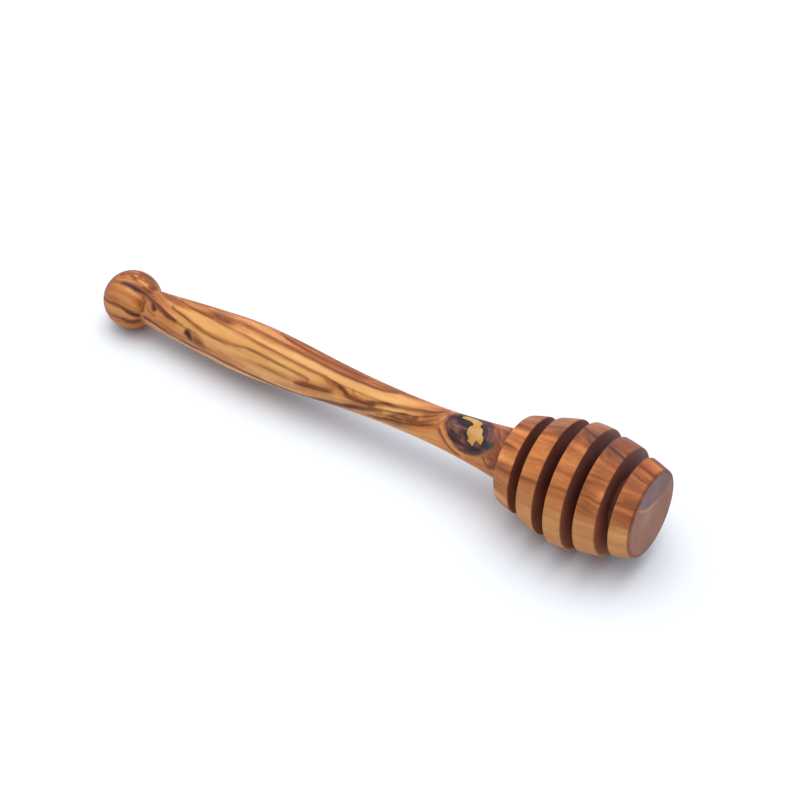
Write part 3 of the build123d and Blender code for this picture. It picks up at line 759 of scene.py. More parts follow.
# on the ball: (theta from the pole, phi[, weight])
BALL = [
    ("m", 0.80, 0.6, 0.5, [(92, 17), (106, 15.5), (120, 13.5), (134, 10), (144, 9)]),
    ("b", 0.55, 0.20, 0.30, [(44, 30, 0.5), (54, 25.5, 0.8), (62, 22.5), (70, 20.6), (78, 19.2), (86, 18.3), (95, 17.5)]),
    ("p", 0.35, 0.2, 0.3, [(78, 19.4), (86, 18.5), (95, 17.5)]),
    ("b", 0.70, 0.22, 0.30, [(20, 84, 0.4), (34, 74, 0.6), (48, 66.5, 0.9), (60, 65.2), (71, 64.8), (82, 63.5), (92, 63), (101, 64.2), (110, 67, 1.1), (117, 70.5, 1.2), (124, 74.2, 1.3), (132, 78.5, 1.3), (140, 82, 1.2), (147, 82)]),
    ("m", 0.70, 0.5, 0.55, [(45, 67), (71, 65), (92, 63), (110, 66.5), (124, 73.5), (140, 81)]),
    ("b", 0.62, 0.22, 0.34, [(55, 96, 0.4), (64, 92.5, 0.6), (73, 91, 0.8), (84, 90.2, 0.9), (94, 90), (102, 90.4), (109, 91.8, 1.1), (115, 96, 1.2), (122, 99.5, 1.3), (130, 101.8, 1.3), (138, 101.5, 1.2), (146, 99.5)]),
    ("r", 0.45, 0.35, 0.4, [(104, 91), (112, 94), (120, 98.6), (130, 101.5), (141, 101)]),
    ("b", 0.30, 0.3, 0.4, [(60, 108), (75, 105), (90, 106), (105, 108), (118, 110.5), (130, 112), (142, 116)]),
    ("l", 0.45, 0.4, 0.4, [(60, 78), (75, 76), (90, 76), (103, 78), (114, 82.5), (126, 88), (138, 92)]),
    ("l", 0.40, 0.3, 0.3, [(112, 103), (122, 106), (133, 107)]),
    ("l", 0.55, 0.35, 0.4, [(96, 24), (105, 24.5), (115, 26), (124, 27)]),
    ("l", 0.55, 0.3, 0.35, [(60, 13), (70, 12), (80, 12), (90, 11), (100, 9), (108, 7)]),
    ("r", 0.75, 0.16, 0.2, [(72, 6, 0.7), (76, 1), (80, -5), (84, -11), (90, -14.5), (97, -18.5), (103, -21.5), (110, -24.5), (118, -27, 0.8)]),
    ("b", 0.60, 0.16, 0.2, [(66, 0, 0.6), (71, -7), (75, -14), (80, -21), (86, -27), (92, -31)]),
    ("l", 1.00, 0.50, 0.55, [(106, -6, 0.6), (113, -6), (120, -6.5), (127, -9), (134, -14, 0.7)]),
    ("l", 1.00, 0.45, 0.5, [(84, -15, 0.7), (89, -18.5), (95, -21), (101, -23, 0.7)]),
    ("l", 0.90, 0.3, 0.35, [(78, -13, 0.7), (84, -18), (91, -21), (98, -24)]),
    ("l", 0.80, 0.28, 0.3, [(90, -8), (96, -10), (103, -13), (110, -16), (118, -19)]),
    ("l", 0.80, 0.3, 0.3, [(96, 9), (104, 6), (112, 4.5), (121, 2.5), (130, 1)]),
    ("b", 0.62, 0.14, 0.16, [(98, -3), (104, -6.5), (110, -9.5), (117, -13), (124, -16.5), (131, -20)]),
    ("b", 0.55, 0.14, 0.16, [(96, 5), (103, 2.5), (110, 1), (117, 0), (126, -1), (135, -2)]),
    ("p", 0.70, 0.16, 0.2, [(86, -2, 0.7), (89, -6), (92, -4), (95, -8), (98, -11)]),
    ("p", 0.60, 0.16, 0.2, [(99, -12), (102, -16), (106, -14), (109, -18), (113, -21)]),
    ("r", 0.85, 0.2, 0.22, [(93, 1), (97, -2), (101, -4), (105, -2.5), (108, -5)]),
    ("b", 0.60, 0.16, 0.2, [(60, 4), (65, 1), (69, -1), (73, 2), (76, 6)]),
    ("r", 0.75, 0.2, 0.22, [(56, -2), (60, -6), (65, -6), (69, -10)]),
    ("b", 0.50, 0.15, 0.2, [(52, 18), (57, 12), (62, 9), (68, 10)]),
    ("b", 0.55, 0.2, 0.25, [(118, -28), (124, -31), (130, -36), (136, -44)]),
    ("b", 0.50, 0.2, 0.2, [(120, 5), (127, 2), (133, -4), (138, -14)]),
    ("m", 0.95, 1.3, 1.4, [(96, -44), (106, -42), (116, -44), (126, -52), (134, -62)]),
    ("m", 0.60, 0.6, 0.8, [(138, -2), (141, -18), (142, -34), (142, -50)]),
    ("m", 0.50, 0.5, 0.8, [(144, 22), (144, 40), (144, 60)]),
    ("m", 0.40, 0.8, 0.8, [(30, 40), (38, 20), (46, 6), (54, -6), (62, -16)]),
    ("m", 0.45, 0.7, 0.9, [(24, 92), (40, 110), (60, 116), (80, 118), (100, 118), (120, 122)]),
    ("b", 0.18, 0.3, 0.5, [(60, 47), (80, 44), (100, 42), (120, 44)]),
    ("b", 0.45, 0.3, 0.4, [(15, 150), (40, 146), (65, 143), (90, 141), (115, 143), (140, 147)]),
    ("b", 0.50, 0.3, 0.4, [(12, 185), (40, 178), (70, 172), (100, 170), (125, 172), (140, 176)]),
    ("p", 0.65, 0.35, 0.5, [(25, 215, 0.6), (50, 208), (75, 203), (100, 200, 1.1), (125, 198), (140, 198)]),
    ("b", 0.45, 0.3, 0.4, [(12, 245), (40, 240), (70, 234), (100, 230), (125, 228), (140, 228)]),
    ("b", 0.50, 0.3, 0.4, [(20, 280), (45, 272), (70, 266), (95, 262), (120, 258), (140, 258)]),
    ("b", 0.40, 0.3, 0.4, [(25, 312), (50, 302), (75, 295), (100, 291), (125, 288), (140, 286)]),
    ("b", 0.40, 0.3, 0.4, [(35, 340), (55, 328), (75, 321), (95, 317), (115, 314), (135, 310)]),
]
KNOT = [(105.4, 27), (106.4, 42.6), (107.4, 55), (108.9, 67), (110.3, 77), (112.4, 81.5), (114.5, 77.5),
        (116.6, 68), (118.0, 58.5), (119.0, 50), (119.7, 40), (119.4, 30), (118.6, 22), (117.8, 6),
        (116.8, -8), (115.8, -22), (114.8, -34), (112.5, -40), (109.5, -40), (107, -36), (105.6, -24),
        (105.1, -8), (105.1, 10)]

# patches of soft brown: (strength, softness in mm, outline)
ZONES = [
    (0.90, 0.35, [(29.2, 59), (31, 58.5), (33, 60), (34.2, 65), (35.3, 72), (36.2, 79), (35, 84), (33, 86), (31.6, 85), (30.6, 76), (29.8, 67)]),
    (0.28, 1.00, [(64.5, 62), (68, 63), (72, 62), (74.5, 60), (75, 66), (70, 74), (66, 79), (63, 78), (63.5, 70)]),
    (0.50, 0.40, [(71.5, 36), (74.5, 39), (77, 46), (78.5, 52), (80, 48), (81, 43), (83, 40), (86, 41), (86, 48), (85, 56), (83, 62), (81, 65), (78.5, 66), (76.5, 60), (74.5, 54), (72, 47)]),
    (0.20, 0.60, [(84, 68), (87, 60), (91, 50), (96, 40), (100, 30), (103, 18), (104, 34), (101, 54), (97, 68), (92, 74), (88, 80), (85, 82)]),
    (0.20, 0.60, [(84, 90), (88, 84), (92, 80), (95, 84), (94, 96), (92, 110), (86, 116), (82, 108)]),
    (0.40, 0.50, [(46, 21), (52, 24), (60, 29), (66, 32), (66, 35), (60, 33), (52, 29), (46, 25)]),
]

# patches of red-brown next to the knot
UMBER = [
    (0.90, 0.40, [(116.2, -32), (117.6, -6), (118.4, 10), (119.2, 24), (120.2, 32), (121.6, 38), (123.6, 40), (123.6, -32)]),
    (0.60, 0.40, [(118.6, 60), (119.6, 52), (121.2, 50), (123.6, 52), (123.6, 74), (120.4, 76), (118.9, 70)]),
    (0.50, 0.50, [(102.6, -30), (104.6, -28), (105.2, -6), (105.3, 20), (104.6, 32), (103.8, 20), (103.2, 2)]),
]

flow_curves = []
brown = np.zeros(F.X.shape)
light = np.zeros(F.X.shape)
dark = np.zeros(F.X.shape)
plum = np.zeros(F.X.shape)
rust = np.zeros(F.X.shape)
seed = 100
for group, maker in ((STICK, on_stick), (BALL, on_ball)):
    for kind, strength, minus, plus, pts in group:
        cur = maker(pts)
        flow_curves.append(cur)
        seed += 7
        if kind == "m":
            f = streak(F, cur, minus, plus, strength, seed=seed, taper=2.5, sharp=1.0, tail=0.15)
            brown = 1 - (1 - brown) * (1 - 0.75 * f)
            continue
        broad = {"b": 1.7, "f": 1.0, "p": 1.5, "r": 1.4, "l": 1.15}[kind]
        f = streak(F, cur, broad * minus, broad * plus, min(1.0, 1.15 * strength), seed=seed)
        if kind == "l":
            light = np.maximum(light, f)
            continue
        if kind == "r":
            rust = 1 - (1 - rust) * (1 - f)
        dark = 1 - (1 - dark) * (1 - f)
        if kind == "p":
            plum = np.maximum(plum, f)

for strength, soft, pts in ZONES:
    zone = F.inside([(float(x_of_s(s)), p) for s, p in pts], soft)
    brown = 1 - (1 - brown) * (1 - strength * zone)
umber = np.zeros(F.X.shape)
for strength, soft, pts in UMBER:
    zone = F.inside([(float(x_of_s(s)), p) for s, p in pts], soft)
    umber = 1 - (1 - umber) * (1 - strength * zone)

knot_pts = [(float(x_of_s(s)), p) for s, p in KNOT]
knot_ring = F.curve(knot_pts, close=True)
flow_curves.append(knot_ring)
flow = F.flow(flow_curves)

rng = np.random.default_rng(11)
n_fine = rng.standard_normal(F.X.shape)
n_mid = F.blur(rng.standard_normal(F.X.shape), 0.45)
n_wide = F.blur(rng.standard_normal(F.X.shape), 1.1)
fine = F.comb(n_fine, flow, 5.0)
mid = F.comb(n_mid, flow, 11.0, 0.5)
wide = F.comb(n_wide, flow, 22.0, 0.8)
hair_rng = np.random.default_rng(23)
hairs = F.comb(F.blur(hair_rng.standard_normal(F.X.shape), 0.2), flow, 8.0, 0.4)
hair = soft_step(0.5, 1.8, hairs) - 0.6 * soft_step(0.7, 2.0, -hairs)


def blob(s, p, rs, rp):
    """Soft patch centred at (s, p)."""
    x = x_of_s(s)
    dp = (F.P - p + 180) % 360 - 180
    return np.exp(-((F.X - x) / rs) ** 2 - (dp / rp) ** 2)


SX = np.interp(F.x, ox_, os_)[:, None] + 0 * F.P
PH = (F.P + 180) % 360 - 180
on_stick_mask = soft_step(BALL_END_X + 0.3, BALL_END_X + 1.2, F.X)

# light golden wood down the middle, redder and browner towards the top
gold = (soft_step(20, 27, SX) * (1 - soft_step(86, 100, SX))
        * soft_step(8, 18, PH) * (1 - soft_step(50, 85, PH))) * on_stick_mask
gold = np.clip(gold + 0.6 * blob(45, -18, 8, 9) + 0.5 * blob(28, -12, 5, 7) + 0.6 * blob(93, 5, 7, 10)
               + 0.5 * blob(86, -4, 5, 6), 0, 1)
red = (1 - soft_step(-22, 4, PH)) * soft_step(-75, -45, PH) * 0.55
red = red + 0.3 * blob(70, -2, 14, 7) + 0.4 * blob(68, -20, 14, 12) + 0.5 * blob(29, 2, 6, 6) + 0.3 * blob(38, 3, 8, 7)
red = red + 0.9 * blob(121, 22, 2.2, 34) + 0.5 * blob(105.3, 10, 1.6, 30) + 0.3 * blob(100, 20, 4, 14)
red = np.clip(red - 0.8 * gold + 0.10 * wide, 0, 1)
orange = np.clip(1.3 * blob(62, -38, 11, 22) + 1.4 * blob(111, 108, 10, 30) + 0.7 * blob(23, 72, 7, 16) + 0.7 * blob(100, 70, 7, 24) + 0.5 * blob(66, 92, 12, 12)
                 + 0.3 * (1 - on_stick_mask), 0, 1)
shade_brown = 0.55 * blob(33.6, 70, 2.6, 9) + 0.35 * blob(27, 3, 6, 7) + 0.25 * blob(74, 50, 3, 9)
shade_brown = shade_brown + 0.4 * blob(80, 62, 3.4, 7) + 0.35 * blob(86, 72, 4, 10) + 0.1 * blob(95, 53, 3.5, 9)
shade_brown = shade_brown + 0.35 * blob(88, 95, 4, 12) + 0.25 * blob(66, 64, 2.5, 8)
shade_brown = np.clip(shade_brown, 0, 1)

knot = F.inside(knot_pts, 0.2, (0.22 * lattice(F.X, F.P, 1.6, 15, 5), 0.22 * lattice(F.X, F.P, 1.2, 12, 6)))
knot_soft = F.inside(knot_pts, 0.6)
d_ring = F.near(knot_ring, 4.0)[0]

# 0 light .. 1 dark, the ordinary figure between the dark lines; painted light and shade are mixed into this tone
calm = 1 - 0.40 * gold
brown = np.clip(brown * (1 + 0.10 * mid + 0.05 * fine), 0, 1)
top = 1 - soft_step(-12, 14, PH)
# painted floor bounce: the underside of the stick, tinted bluish in the material and lightened in the tone
under_bounce = soft_step(72, 104, PH) * on_stick_mask * (1 - soft_step(90, 102, SX))
# Patches of darker and lighter wood, with painted light and shade mixed in. Painted shade falls in the crease round the
# neck, round the pole of the ball and over the top of the stick. Painted light lifts the underside.
figure_and_painted_shade = (0.12 * (1 - on_stick_mask) + 0.22 * blob(14.3, 40, 2.2, 90) + 0.14 * blob(15.5, 20, 3.0, 30)
         + 0.16 * top * soft_step(14, 18, SX) * (1 - soft_step(40, 54, SX))
         + 0.12 * (1 - soft_step(-34, -16, PH)) * soft_step(50, 58, SX) * (1 - soft_step(72, 84, SX))
         + 0.34 * blob(75.5, 54, 5.5, 15) + 0.20 * blob(82, 70, 5, 22) + 0.20 * blob(27, 50, 5, 8)
         + 0.18 * blob(33, 50, 5, 7) + 0.20 * blob(104, 10, 2.0, 34) + 0.40 * blob(121.6, 4, 2.6, 24)
         + 0.22 * blob(117.6, -14, 2.2, 16) + 0.15 * blob(39, 5, 5, 6) - 0.16 * blob(104.5, 72, 3.0, 18)
         - 0.12 * blob(57, 98, 9, 16) - 0.10 * blob(97, 0, 6, 18) - 0.10 * under_bounce - 0.06 * blob(87, 30, 5, 16)
         - 0.08 * blob(83, 85, 5, 14) - 0.10 * blob(16, 75, 4, 16) - 0.09 * blob(93.5, 30, 5, 24)
         - 0.06 * blob(88, 48, 4, 14) - 0.06 * blob(60, 80, 7, 16) + 0.07 * blob(22, 0, 7, 30) + 0.08 * blob(38, 8, 6, 14)
         + 0.08 * blob(24, 35, 4, 12) + 0.10 * blob(62, -36, 9, 18) + 0.14 * blob(119.6, 22, 2.0, 34)
         + 0.16 * blob(1.0, 35, 3.0, 40) + 0.08 * blob(106, 50, 2.0, 26) - 0.06 * blob(8, 100, 5, 26)
         - 0.08 * blob(60, 50, 8, 45) - 0.07 * blob(99, 75, 6, 35) - 0.06 * blob(20, 65, 5, 20)
         - 0.10 * blob(106, -8, 1.6, 26) - 0.08 * blob(119.6, -18, 2.0, 12) + 0.05 * blob(80, 28, 5, 10)
         + 0.07 * blob(39, -2, 6, 8) + 0.06 * blob(16, 62, 2.5, 26)
         + 0.06 * top * soft_step(14, 18, SX) * (1 - soft_step(46, 56, SX)) + 0.16 * blob(61, -30, 10, 20)
         + 0.05 * top * soft_step(84, 90, SX) + 0.10 * blob(38, 8, 5, 14) + 0.06 * blob(27, -4, 6, 20)
         - 0.08 * blob(87, 84, 5, 18) - 0.08 * blob(93, 62, 4, 16) - 0.06 * blob(58, 86, 9, 18)
         - 0.05 * blob(100, 62, 5, 24) + 0.16 * blob(118.8, -2, 1.8, 14) + 0.10 * blob(115.5, 4, 2.0, 14)
         - 0.07 * blob(8.5, 92, 5, 24) + 0.08 * blob(5, -20, 5, 26) + 0.06 * blob(12, -34, 3, 20) + 0.08 * blob(87, -18, 4, 12)
         - 0.10 * blob(97, 46, 4, 16) - 0.06 * blob(103.5, 96, 8, 26) - 0.05 * blob(36, 76, 5, 12)
         - 0.10 * blob(119, -20, 2, 12) - 0.05 * blob(56, -7, 5, 8) + 0.10 * blob(38, 6, 4, 16) + 0.04 * blob(20, 0, 5, 20) - 0.09 * blob(87, 82, 4, 14) - 0.09 * blob(93.5, 66, 4, 15) - 0.08 * blob(101, 80, 4, 26) - 0.05 * blob(62, 92, 7, 18)
         - 0.08 * blob(110, 67, 2.4, 10) - 0.06 * blob(119, 68, 2, 10) - 0.07 * blob(70, -34, 5, 26)
         - 0.06 * blob(57, -6, 6, 9) + 0.09 * blob(11.5, -48, 3, 16) + 0.09 * blob(14, 108, 3, 16)
         + 0.03 * blob(21, 0, 5, 18) + 0.09 * blob(38, -2, 4, 14) + 0.07 * blob(86, -14, 4, 26)
         + 0.05 * blob(78, 44, 3, 12) + 0.08 * blob(102, 30, 2.6, 20) + 0.08 * blob(119, 8, 1.8, 14)
         + 0.05 * blob(4, 5, 3, 36) + 0.14 * blob(0.8, 32, 2.4, 16) + 0.08 * blob(120.8, 14, 1.8, 22)
         + 0.07 * blob(77, 36, 4, 10) + 0.05 * blob(24, -8, 5, 16) - 0.06 * blob(106.6, -12, 1.4, 22)
         - 0.44 * blob(93.5, 60, 4.5, 15) - 0.10 * blob(87, 70, 4, 14) - 0.10 * blob(110, 56, 2.2, 14)
         - 0.10 * blob(119, 74, 2, 14) - 0.10 * blob(106, -14, 1.6, 14) - 0.14 * blob(119, -20, 1.8, 10)
         - 0.46 * blob(66, -9, 10, 10) - 0.08 * blob(54, -6, 5, 8) - 0.06 * blob(64, 90, 6, 18) - 0.06 * blob(70, 106, 4, 16)
         + 0.07 * blob(87, -34, 4, 22) + 0.08 * blob(94, -26, 4, 20) + 0.06 * blob(38, -14, 5, 26)
         + 0.08 * blob(102, 30, 2.2, 12) + 0.14 * blob(0.6, 34, 2.0, 18) + 0.08 * blob(4, 26, 2.5, 14)
         + 0.05 * blob(24, 48, 4, 12) + 0.20 * blob(2.2, 30, 2.6, 20) + 0.16 * blob(13.7, 35, 0.8, 60)
         + 0.05 * blob(90, -30, 6, 18) + 0.10 * blob(38, 0, 4, 16) + 0.05 * (1 - on_stick_mask) * soft_step(-30, 0, PH) * (1 - soft_step(30, 60, PH)))
tone = (0.36 + calm * (0.075 * fine + 0.09 * mid + 0.07 * wide) - 0.20 * gold + 0.16 * red
        + 0.25 * shade_brown + 0.05 * orange + 0.52 * brown + figure_and_painted_shade - (0.26 + 0.14 * (1 - on_stick_mask)) * light * (1 - 0.6 * gold))
busy = np.clip((1 - soft_step(0, 18, PH)) * soft_step(46, 56, SX) * (1 - soft_step(84, 92, SX))
               + 0.9 * blob(68, 68, 7, 14) + 1.0 * blob(94, 56, 9, 34) + 0.6 * blob(86, 92, 7, 18)
               + 0.8 * (1 - on_stick_mask) * (1 - soft_step(-6, 14, PH)) + 0.6 * top * (1 - soft_step(46, 56, SX))
               + 0.7 * blob(121, 20, 2.5, 50), 0, 1)
tone = tone + hair * (0.07 + 0.15 * busy) * (1 - 0.35 * gold)
hue = 0.5 + 0.30 * blob(62, -32, 11, 20) + 0.32 * red - 0.16 * gold + 0.05 * orange + 0.04 * mid
dark = np.clip(dark * (1 + 0.12 * fine), 0, 1)
k_tex = 0.5 + 0.24 * F.comb(F.blur(rng.standard_normal(F.X.shape), 0.25), flow, 3.0)


def mark(pts, half, strength, seed):
    return streak(F, on_stick(pts), half, half, strength, taper=0.5, seed=seed, sharp=1.3, tail=0.1)


k_black = np.clip(
    1.0 * mark([(107.2, -24), (107.6, -12), (107.9, -3), (108.7, 4), (110.3, 6), (111.6, 4)], 0.60, 1.0, 2001)
    + 1.0 * mark([(108.6, 4), (109.8, 9), (111.2, 13), (111.8, 17)], 0.55, 1.0, 2011)
    + 0.7 * mark([(111.9, 18), (111.6, 24), (111.4, 32), (111.9, 40), (112.6, 47)], 0.22, 1.0, 2015)
    + 0.7 * mark([(115.2, 8), (115.8, 20), (116.5, 32), (117.2, 42)], 0.26, 1.0, 2017)
    + 0.6 * mark([(106.0, 34), (107.2, 50), (108.8, 64), (110.4, 74)], 0.24, 1.0, 2019)
    + 0.6 * mark([(109.8, 28), (110.1, 38), (110.5, 48), (110.9, 55)], 0.42, 1.0, 2021)
    + 0.55 * mark([(113.4, 70), (115.0, 63), (116.9, 57), (117.8, 50)], 0.42, 1.0, 2031)
    + 0.75 * blob(114.15, -2, 0.34, 4) + 0.5 * blob(112.0, 38, 0.35, 5) + 0.5 * blob(119.3, 32, 0.35, 5)
    + 0.5 * blob(116.9, 46, 0.4, 4) + 0.4 * blob(113.0, -24, 3.0, 4) + 0.35 * blob(107.6, 50, 0.5, 10), 0, 1)
k_plum = np.clip(
    0.75 * mark([(110.0, 50), (110.3, 60), (110.6, 72)], 0.40, 1.0, 2041)
    + 0.7 * mark([(115.8, -20), (116.8, -8), (117.4, 6), (117.9, 18), (118.3, 26)], 0.5, 1.0, 2045)
    + 0.95 * mark([(114.6, -6), (115.2, 3), (116.0, 15), (116.7, 26), (117.0, 34)], 0.48, 1.0, 2051)
    + 0.8 * mark([(112.0, 74), (113.4, 71), (115.2, 67)], 0.45, 1.0, 2061)
    + 0.8 * mark([(105.5, 18), (105.9, 30), (106.8, 43), (108.0, 56), (109.4, 66)], 0.26, 1.0, 2071)
    + 0.6 * mark([(111.2, 22), (111.6, 32), (112.0, 44), (113.4, 60)], 0.4, 1.0, 2081)
    + 0.5 * blob(112.0, 79, 1.6, 4), 0, 1)
k_pink = np.clip(
    0.75 * blob(109.1, 22, 0.5, 9) + 0.3 * mark([(116.2, -10), (116.8, 2), (117.4, 14)], 0.42, 1.0, 2091)
    + 0.75 * blob(115.6, 48, 0.8, 5) + 0.7 * blob(106.6, -15, 0.5, 6) + 0.5 * blob(107.4, 12, 0.8, 14)
    + 0.35 * blob(108.6, 36, 0.4, 10), 0, 1)
k_blue = np.clip(0.75 * blob(108.75, 5, 0.36, 5) + 0.65 * blob(110.5, 5.6, 0.5, 4), 0, 1)
k_plum = np.clip(k_plum + 0.6 * mark([(112.4, -38), (114.6, -30), (116.2, -18), (117.2, -4)], 0.45, 1.0, 2101), 0, 1)
green_d = np.hypot((F.X - x_of_s(118.2)) / 1.1, ((F.P - 39.0 + 180) % 360 - 180) / 12.5)
k_green = np.exp(-green_d ** 4)


def across(field, g, x0, r0, y, z, turn):
    """Layers of the wood carried straight over an end, inwards from the ring of radius r0."""
    c, d = math.cos(math.radians(turn)), math.sin(math.radians(turn))
    u = np.clip((y * c + z * d) / r0, -0.9, 0.9)
    v = (z * c - y * d) / (r0 * np.sqrt(np.maximum(1 - u * u, 1e-4)))
    a = np.degrees(np.arccos(u))
    side = soft_step(-0.6, 0.6, v)
    at = np.full(len(y), float(x0))
    inner = side * field.sample(g, at, turn + a) + (1 - side) * field.sample(g, at, turn - a)
    rim = soft_step(0.74, 0.98, np.hypot(y, z) / r0)
    return rim * field.sample(g, at, np.degrees(np.arctan2(z, y))) + (1 - rim) * inner


TAIL_R = 4.5
TAIL_S = BALL_R - math.sqrt(BALL_R ** 2 - TAIL_R ** 2)


def paint_handle(obj, names):
    s, r, phi, y, z = coords(obj.data)
    theta = np.degrees(np.arctan2(r, BALL_R - s))
    x = np.where(s < BALL_END_S, ball_x(theta), x_of_s(s))
    tail_x = ball_x(math.degrees(math.asin(TAIL_R / BALL_R)))
    for k, g in names.items():
        put(obj.data, k, np.where(s < TAIL_S, across(F, g, tail_x, TAIL_R, y, z, 112), F.sample(g, x, phi)))
    return s, r, phi, y, z


fields = {"tone": tone, "hue": hue, "dark": dark, "plum": plum, "rust": rust, "knot": knot,
          "knot_halo": knot_soft, "k_tex": k_tex, "k_black": k_black, "k_green": k_green,
          "orange": orange, "under_bounce": under_bounce, "umber": umber, "k_plum": k_plum, "k_pink": k_pink,
          "k_blue": k_blue}
paint_handle(handle, fields)
smooth(handle)
smooth(filler, 30)

# ---------------------------------------------------------------------------
# Head: shape and figure
# ---------------------------------------------------------------------------
N_HEAD = 264
head = lathe("barrel_head", head_profile(), N_HEAD)

rim_s = np.array([v for d in DISCS for v in (d[0], d[2])])
rim_r = np.array([v for d in DISCS for v in (d[1], d[3])])
G = Field(LENGTH - HEAD_START, 0.2, 1.0, lambda x: np.interp(x + HEAD_START, rim_s, rim_r))


def on_head(pts):
    return G.curve([(p[0] - HEAD_START,) + tuple(p[1:]) for p in pts])


HEAD = [
    ("b", 0.62, 0.35, 0.55, [(123.3, 60), (126, 59), (128.5, 58), (131.4, 56), (134, 54.5), (136.4, 53.5), (139.7, 51.5), (142, 50.5), (144.2, 50), (147.1, 48), (149.5, 48.5), (152.2, 50), (155.1, 44), (157.5, 41), (160, 38)]),
    ("b", 0.25, 0.9, 1.6, [(123.3, 63), (128.5, 62), (136.4, 58), (144.2, 55), (149.0, 57), (152.2, 65), (156, 64), (160, 60)]),
    ("b", 0.34, 0.25, 0.4, [(146, 41), (147.1, 39.5), (150, 38), (152.2, 37), (155.1, 36), (160, 32)]),
    ("b", 0.98, 0.40, 0.46, [(137.5, -18, 0.6), (139.7, -15.2), (141.2, -12.4, 0.9), (142.6, -10.2, 0.9), (144.2, -8.8), (147.1, -7.8, 1.1), (148.4, -6.4, 1.3), (150.0, -5.0, 1.1), (151.2, -4.0), (152.2, -2.6), (155.1, 1, 0.5), (160, 7, 0.4)]),
    ("b", 0.45, 0.45, 0.6, [(142.8, -9, 0.8), (143.6, -6), (144.2, -2, 0.6)]),
    ("b", 0.50, 0.45, 0.7, [(149.4, -4, 0.8), (150.6, -2), (151.4, 1, 0.6)]),
    ("p", 0.30, 0.35, 0.5, [(145.2, -8, 0.7), (146.5, -3), (147.6, 2), (148.6, 6), (149.6, 9, 0.6)]),
    ("p", 0.30, 0.35, 0.5, [(138.6, -14, 0.7), (140, -9), (141.2, -5), (142.6, -2, 0.6)]),
    ("r", 0.40, 0.3, 0.5, [(131.4, -24), (134, -21), (136.4, -19), (139.7, -15)]),
    ("b", 0.35, 0.3, 0.5, [(123.3, -12), (126, -8), (128.5, -5), (131.4, -2), (134, -3), (136.4, -5)]),
    ("r", 0.35, 0.3, 0.5, [(123.3, -30), (126, -27), (128.5, -24), (131.4, -30)]),
    ("r", 0.38, 0.35, 0.6, [(139.7, -26), (142, -22), (144.2, -21), (147.1, -24), (149.5, -18), (152.2, -16)]),
    ("b", 0.30, 0.2, 0.35, [(123.3, 16), (125, 19), (127, 23), (128.5, 26)]),
    ("b", 0.24, 0.2, 0.3, [(123.3, 34), (126, 36), (128.5, 37), (131.4, 38), (136.4, 37)]),
    ("b", 0.24, 0.2, 0.3, [(131.4, 10), (134, 11.5), (136.4, 12), (139.7, 12), (144.2, 14), (147.1, 15), (152.2, 13)]),
    ("b", 0.26, 0.2, 0.3, [(131.4, 21), (136.4, 22), (139.7, 20), (144.2, 22), (147.1, 24), (152.2, 23)]),
    ("b", 0.22, 0.2, 0.3, [(139.7, 30), (144.2, 31), (147.1, 31), (152.2, 30), (155.1, 26), (160, 22)]),
    ("b", 0.22, 0.2, 0.3, [(139.7, 39), (144.2, 41), (147.1, 43)]),
    ("b", 0.34, 0.2, 0.4, [(155.1, 9), (157.5, 11.5), (160, 13)]),
    ("r", 0.40, 0.3, 0.5, [(155.1, 22), (157.5, 20), (160, 17)]),
    ("r", 0.34, 0.3, 0.5, [(155.1, 31), (157.5, 29), (160, 26)]),
    ("b", 0.26, 0.3, 0.5, [(155.1, 56), (157, 60), (159, 66), (160, 70)]),
    ("b", 0.22, 0.25, 0.5, [(123.3, 72), (128.5, 73), (136.4, 71), (144.2, 70), (152.2, 72), (160, 76)]),
    ("b", 0.16, 0.25, 0.5, [(123.3, 88), (128.5, 89), (136.4, 87), (144.2, 88), (152.2, 90), (160, 93)]),
    ("b", 0.16, 0.25, 0.5, [(131.4, 104), (136.4, 103), (144.2, 104), (152.2, 107), (160, 110)]),
    # far side
    ("b", 0.40, 0.4, 0.8, [(123.3, 128), (136, 126), (148, 125), (160, 129)]),
    ("b", 0.50, 0.4, 0.6, [(123.3, 150), (136, 147), (148, 148), (160, 152)]),
    ("p", 0.55, 0.5, 0.9, [(123.3, 176), (136, 174), (148, 170), (160, 168)]),
    ("b", 0.45, 0.4, 0.6, [(123.3, 201), (136, 199), (148, 200), (160, 203)]),
    ("b", 0.35, 0.3, 0.6, [(123.3, 216), (136, 219), (148, 221), (160, 220)]),
    ("b", 0.55, 0.4, 0.8, [(123.3, 243), (136, 240), (148, 236), (160, 233)]),
    ("b", 0.40, 0.3, 0.5, [(123.3, 262), (136, 261), (148, 263), (160, 266)]),
    ("r", 0.45, 0.4, 0.7, [(123.3, 285), (136, 286), (148, 282), (160, 278)]),
    ("b", 0.40, 0.3, 0.5, [(123.3, 305), (136, 303), (148, 305), (160, 309)]),
]
g_curves = []
g_dark = np.zeros(G.X.shape)
g_plum = np.zeros(G.X.shape)
g_rust = np.zeros(G.X.shape)
seed = 900
for kind, strength, minus, plus, pts in HEAD:
    cur = on_head(pts)
    g_curves.append(cur)
    seed += 7
    f = streak(G, cur, minus, plus, strength, taper=0.4, seed=seed)
    g_dark = 1 - (1 - g_dark) * (1 - f)
    if kind == "p":
        g_plum = np.maximum(g_plum, f)
    if kind == "r":
        g_rust = 1 - (1 - g_rust) * (1 - f)
g_flow = G.flow(g_curves)
g_fine = G.comb(rng.standard_normal(G.X.shape), g_flow, 5.0)
g_mid = G.comb(G.blur(rng.standard_normal(G.X.shape), 0.45), g_flow, 12.0, 0.5)
g_wide = G.comb(G.blur(rng.standard_normal(G.X.shape), 1.3), g_flow, 24.0, 0.8)
GS = G.X + HEAD_START
GP = (G.P + 180) % 360 - 180


def g_blob(s, p, rs, rp):
    dp = (G.P - p + 180) % 360 - 180
    return np.exp(-((GS - s) / rs) ** 2 - (dp / rp) ** 2)
